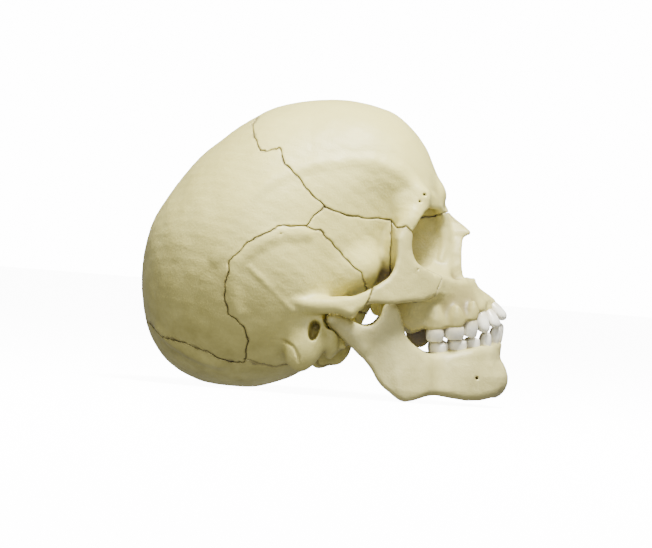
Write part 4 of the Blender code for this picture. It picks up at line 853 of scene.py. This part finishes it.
def largest_piece(item):
    """Drop the crumbs that the seams leave, keeping the largest connected surface."""
    mesh = bmesh.new()
    mesh.from_mesh(item.data)
    mesh.verts.ensure_lookup_table()
    label = np.full(len(mesh.verts), -1)
    sizes = []
    for start in mesh.verts:
        if label[start.index] >= 0:
            continue
        stack, label[start.index], size = [start], len(sizes), 0
        while stack:
            size += 1
            for edge in stack.pop().link_edges:
                for v in edge.verts:
                    if label[v.index] < 0:
                        label[v.index] = len(sizes)
                        stack.append(v)
        sizes.append(size)
    if len(sizes) > 1:
        best = int(np.argmax(sizes))
        bmesh.ops.delete(mesh, geom=[v for v in mesh.verts if label[v.index] != best], context="VERTS")
        mesh.to_mesh(item.data)
    mesh.free()


PAIRED = ("parietal", "temporal", "zygomatic", "maxilla", "nasal")
for name in ("frontal", "parietal", "occipital", "temporal", "sphenoid"):
    bone_piece(name, braincase_looks)


# Face bones
# Cheekbones, upper jaw, nasal bones and the thin wall of the nose: finer bone in the colours of the crown, darkened
# as painted shade for the face lying in shade.
face_shaded_looks = bone_looks("face_bone", (0.62, 0.555, 0.20), (0.49, 0.43, 0.135), (0.27, 0.23, 0.07))
for name in ("zygomatic", "maxilla", "nasal", "vomer"):
    bone_piece(name, face_shaded_looks)


# Lower jaw
# One strong bone, greyer than the rest, with a flat branch each side and the sockets of the lower teeth.
jaw = build_lower_jaw(STEP)
root_bumps(jaw, LOWER_TEETH, False)
hole(jaw, 80.3, 12.6, 1.2, 4)
# painted shade in the hollows of the lower jaw
jaw_hollow_shade = -blurred(jaw.d, STEP, 4.0)
jaw_item = surface("skull_mandible", jaw, jaw.d, np.full_like(jaw.d, 9), jaw_hollow_shade, 0)
largest_piece(jaw_item)
jaw_item.data.materials.append(bone_looks("jaw_bone", (0.76, 0.695, 0.30), (0.60, 0.54, 0.21), (0.34, 0.295, 0.10)))
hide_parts("mandible")


# Teeth
# Enamel crowns on roots sunk in the jaws, each a little different, worn and yellower at the neck.
TOOTH_SEED = 7
TOOTH_RINGS, TOOTH_SIDES = 14, 20
ROOT_LEFT = 0.55  # share of a root that is made, as deep in the jaw as anything shows


def tooth_looks():
    looks = Looks("enamel")
    up = looks.attribute("up")
    clouds = looks.noise(320, 3).between(0.3, 0.7)
    colour = looks.mix((up * -1).between(-0.45, 0.1), (0.90, 0.875, 0.72), (0.68, 0.59, 0.32))
    colour = looks.mix(clouds * 0.3, colour, (0.66, 0.61, 0.48))
    colour = looks.mix(up.between(0.88, 1.0) * 0.4, colour, (0.62, 0.56, 0.42))
    looks.feed("Base Color", colour)
    looks.feed("Roughness", clouds * 0.1 + 0.24)
    looks.shader.inputs["Coat Weight"].default_value = 0.25
    looks.shader.inputs["Coat Roughness"].default_value = 0.2
    looks.bump(clouds, 0.0002, 0.5)
    return looks.material


def tooth(mesh, up, kind, at, width, depth, height, root, lean, upper, side, turn, rng):
    """One tooth: a crown with its cusps, a neck and a tapering root, added to a mesh."""
    made = bmesh.ops.create_uvsphere(mesh, u_segments=TOOTH_SIDES, v_segments=TOOTH_RINGS, radius=1)["verts"]
    width, height = width * rng.uniform(0.97, 1.0), height * rng.uniform(0.98, 1.02)
    for v in made:
        x, y, z = v.co
        ring = math.hypot(x, y)
        around = Vector((x, y, 0)) / ring if ring > 1e-4 else Vector((0, 0, 0))
        t = (z + 1) / 2
        if t > 0.45:
            rise = (t - 0.45) / 0.55
            reach = 0.86 + 0.22 * math.sin(math.pi * min(rise * 0.8 + 0.05, 1))
            if kind == "incisor":
                thick = (1 - 0.45 * rise, 1.0 + 0.05 * rise)
            elif kind == "canine":
                thick = (1 - 0.45 * rise, 1.0 - 0.42 * rise**2)
            else:
                thick = (1 - 0.22 * rise, 1.0 - 0.06 * rise)
            fill = min(1.0, ring * (1.9 if kind in ("incisor", "canine") else 2.6)) if rise < 0.98 else 0.0
            # cusps round the edge of the chewing face, and the dip between them
            cusp = 0.0
            if kind in ("molar", "premolar") and rise > 0.6:
                lobes = 4 if kind == "molar" else 2
                turned_by = 0.25 * math.pi if kind == "molar" else 0
                cusp = (rise - 0.6) * (0.9 * math.cos(lobes * (math.atan2(y, x) - turned_by)) * min(ring * 1.6, 1)
                                       - 1.6 * (1 - min(ring * 1.6, 1)))
            v.co = Vector((around.x * fill * thick[0] * reach * depth / 2,
                           around.y * fill * thick[1] * reach * width / 2,
                           rise * height - height / 2 + cusp))
            v[up] = rise
        else:
            down = 1 - t / 0.45
            taper = 0.86 - 0.45 * down
            fill = min(1.0, ring * 1.6)
            v.co = Vector((around.x * fill * taper * depth / 2, around.y * fill * taper * width / 2,
                           -height / 2 - down * root * ROOT_LEFT))
            v[up] = -down
    flip = -1 if upper else 1
    pose = Matrix.Translation((at[0], side * at[1], at[2]))
    pose = pose @ Matrix.Rotation(side * math.radians(turn + rng.uniform(-3, 3)), 4, "Z")
    pose = pose @ Matrix.Rotation(flip * math.radians(lean), 4, "Y") @ Matrix.Diagonal((1, 1, flip, 1))
    bmesh.ops.transform(mesh, matrix=pose, verts=made)


enamel = tooth_looks()
for label, teeth, upper, side in (("upper_right", UPPER_TEETH, True, -1), ("upper_left", UPPER_TEETH, True, 1),
                                  ("lower_right", LOWER_TEETH, False, -1), ("lower_left", LOWER_TEETH, False, 1)):
    rng = random.Random(TOOTH_SEED + (2 if upper else 0))
    mesh = bmesh.new()
    up = mesh.verts.layers.float.new("up")
    for i, (kind, at, width, depth, height, root, lean) in enumerate(teeth):
        before, after = teeth[max(i - 1, 0)][1], teeth[min(i + 1, len(teeth) - 1)][1]
        turn = math.degrees(math.atan2(before[0] - after[0], after[1] - before[1])) if i else 8
        tooth(mesh, up, kind, at, width, depth, height, root, lean, upper, side, turn, rng)
    item = finished("teeth_" + label, mesh, bpy.data.meshes.new("teeth_" + label))
    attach(item, "root")
    item.data.materials.append(enamel)


# Floor, light and camera
# A white table, soft light from above and in front as in the photo, and a long lens level with the skull.
def seen_only(item, colour, glow):
    """A white surface for the camera that doesn't light the skull."""
    item.visible_diffuse = item.visible_glossy = item.visible_transmission = item.visible_shadow = False
    white = bpy.data.materials.new(item.name)
    white.use_nodes = True
    shader = white.node_tree.nodes["Principled BSDF"]
    shader.inputs["Base Color"].default_value = (*colour, 1)
    shader.inputs["Roughness"].default_value = 0.9
    shader.inputs["Emission Color"].default_value = (1, 1, 1, 1)
    shader.inputs["Emission Strength"].default_value = glow
    item.data.materials.append(white)


bpy.ops.mesh.primitive_plane_add(size=30, location=(0, 0, -0.0004))
bpy.context.object.name = "floor"
seen_only(bpy.context.object, (0.9, 0.9, 0.9), 12.0)
bpy.ops.mesh.primitive_uv_sphere_add(radius=15)
bpy.context.object.name = "backdrop"
seen_only(bpy.context.object, (0.0, 0.0, 0.0), 15.0)

world = bpy.data.worlds.new("studio")
bpy.context.scene.world = world
world.use_nodes = True
background = world.node_tree.nodes["Background"].inputs
background["Color"].default_value = (1, 1, 1, 1)
background["Strength"].default_value = 0.4


def lamp(name, at, aim, size, watts):
    """A soft square light pointed at a place."""
    light = bpy.data.lights.new(name, "AREA")
    light.size, light.energy = size, watts
    item = bpy.data.objects.new(name, light)
    item.location = at
    item.rotation_euler = (Vector(aim) - Vector(at)).to_track_quat("-Z", "Y").to_euler()
    bpy.context.scene.collection.objects.link(item)


lamp("key_light", (0.3, -0.8, 1.9), (0, 0, 0.08), 0.7, 165)
lamp("fill_light", (0.1, -2.2, 0.5), (0, 0, 0.08), 1.2, 18)

# The photo is 652 by 548 pixels of 0.55 mm at the middle of the skull, level with the pose before it was laid down
PIXEL, WIDE, TALL = 0.55, 652, 548
ZERO_PIXEL = (330, 400)  # the pixel of x = 0, z = 0
AWAY = 2.6  # metres from the camera to the middle plane
middle = TO_REST @ Vector(((WIDE / 2 - ZERO_PIXEL[0]) * PIXEL, 0, (ZERO_PIXEL[1] - TALL / 2) * PIXEL))
camera = bpy.data.objects.new("camera", bpy.data.cameras.new("camera"))
bpy.context.scene.collection.objects.link(camera)
camera.data.sensor_width = 36
camera.data.lens = 36 * AWAY / (WIDE * PIXEL * MM)
camera.matrix_world = (Matrix.Translation(middle + Vector((0, -AWAY, 0))) @ Matrix.Rotation(-REST_TURN, 4, "Y")
                       @ Matrix.Rotation(math.pi / 2, 4, "X"))
bpy.context.scene.camera = camera
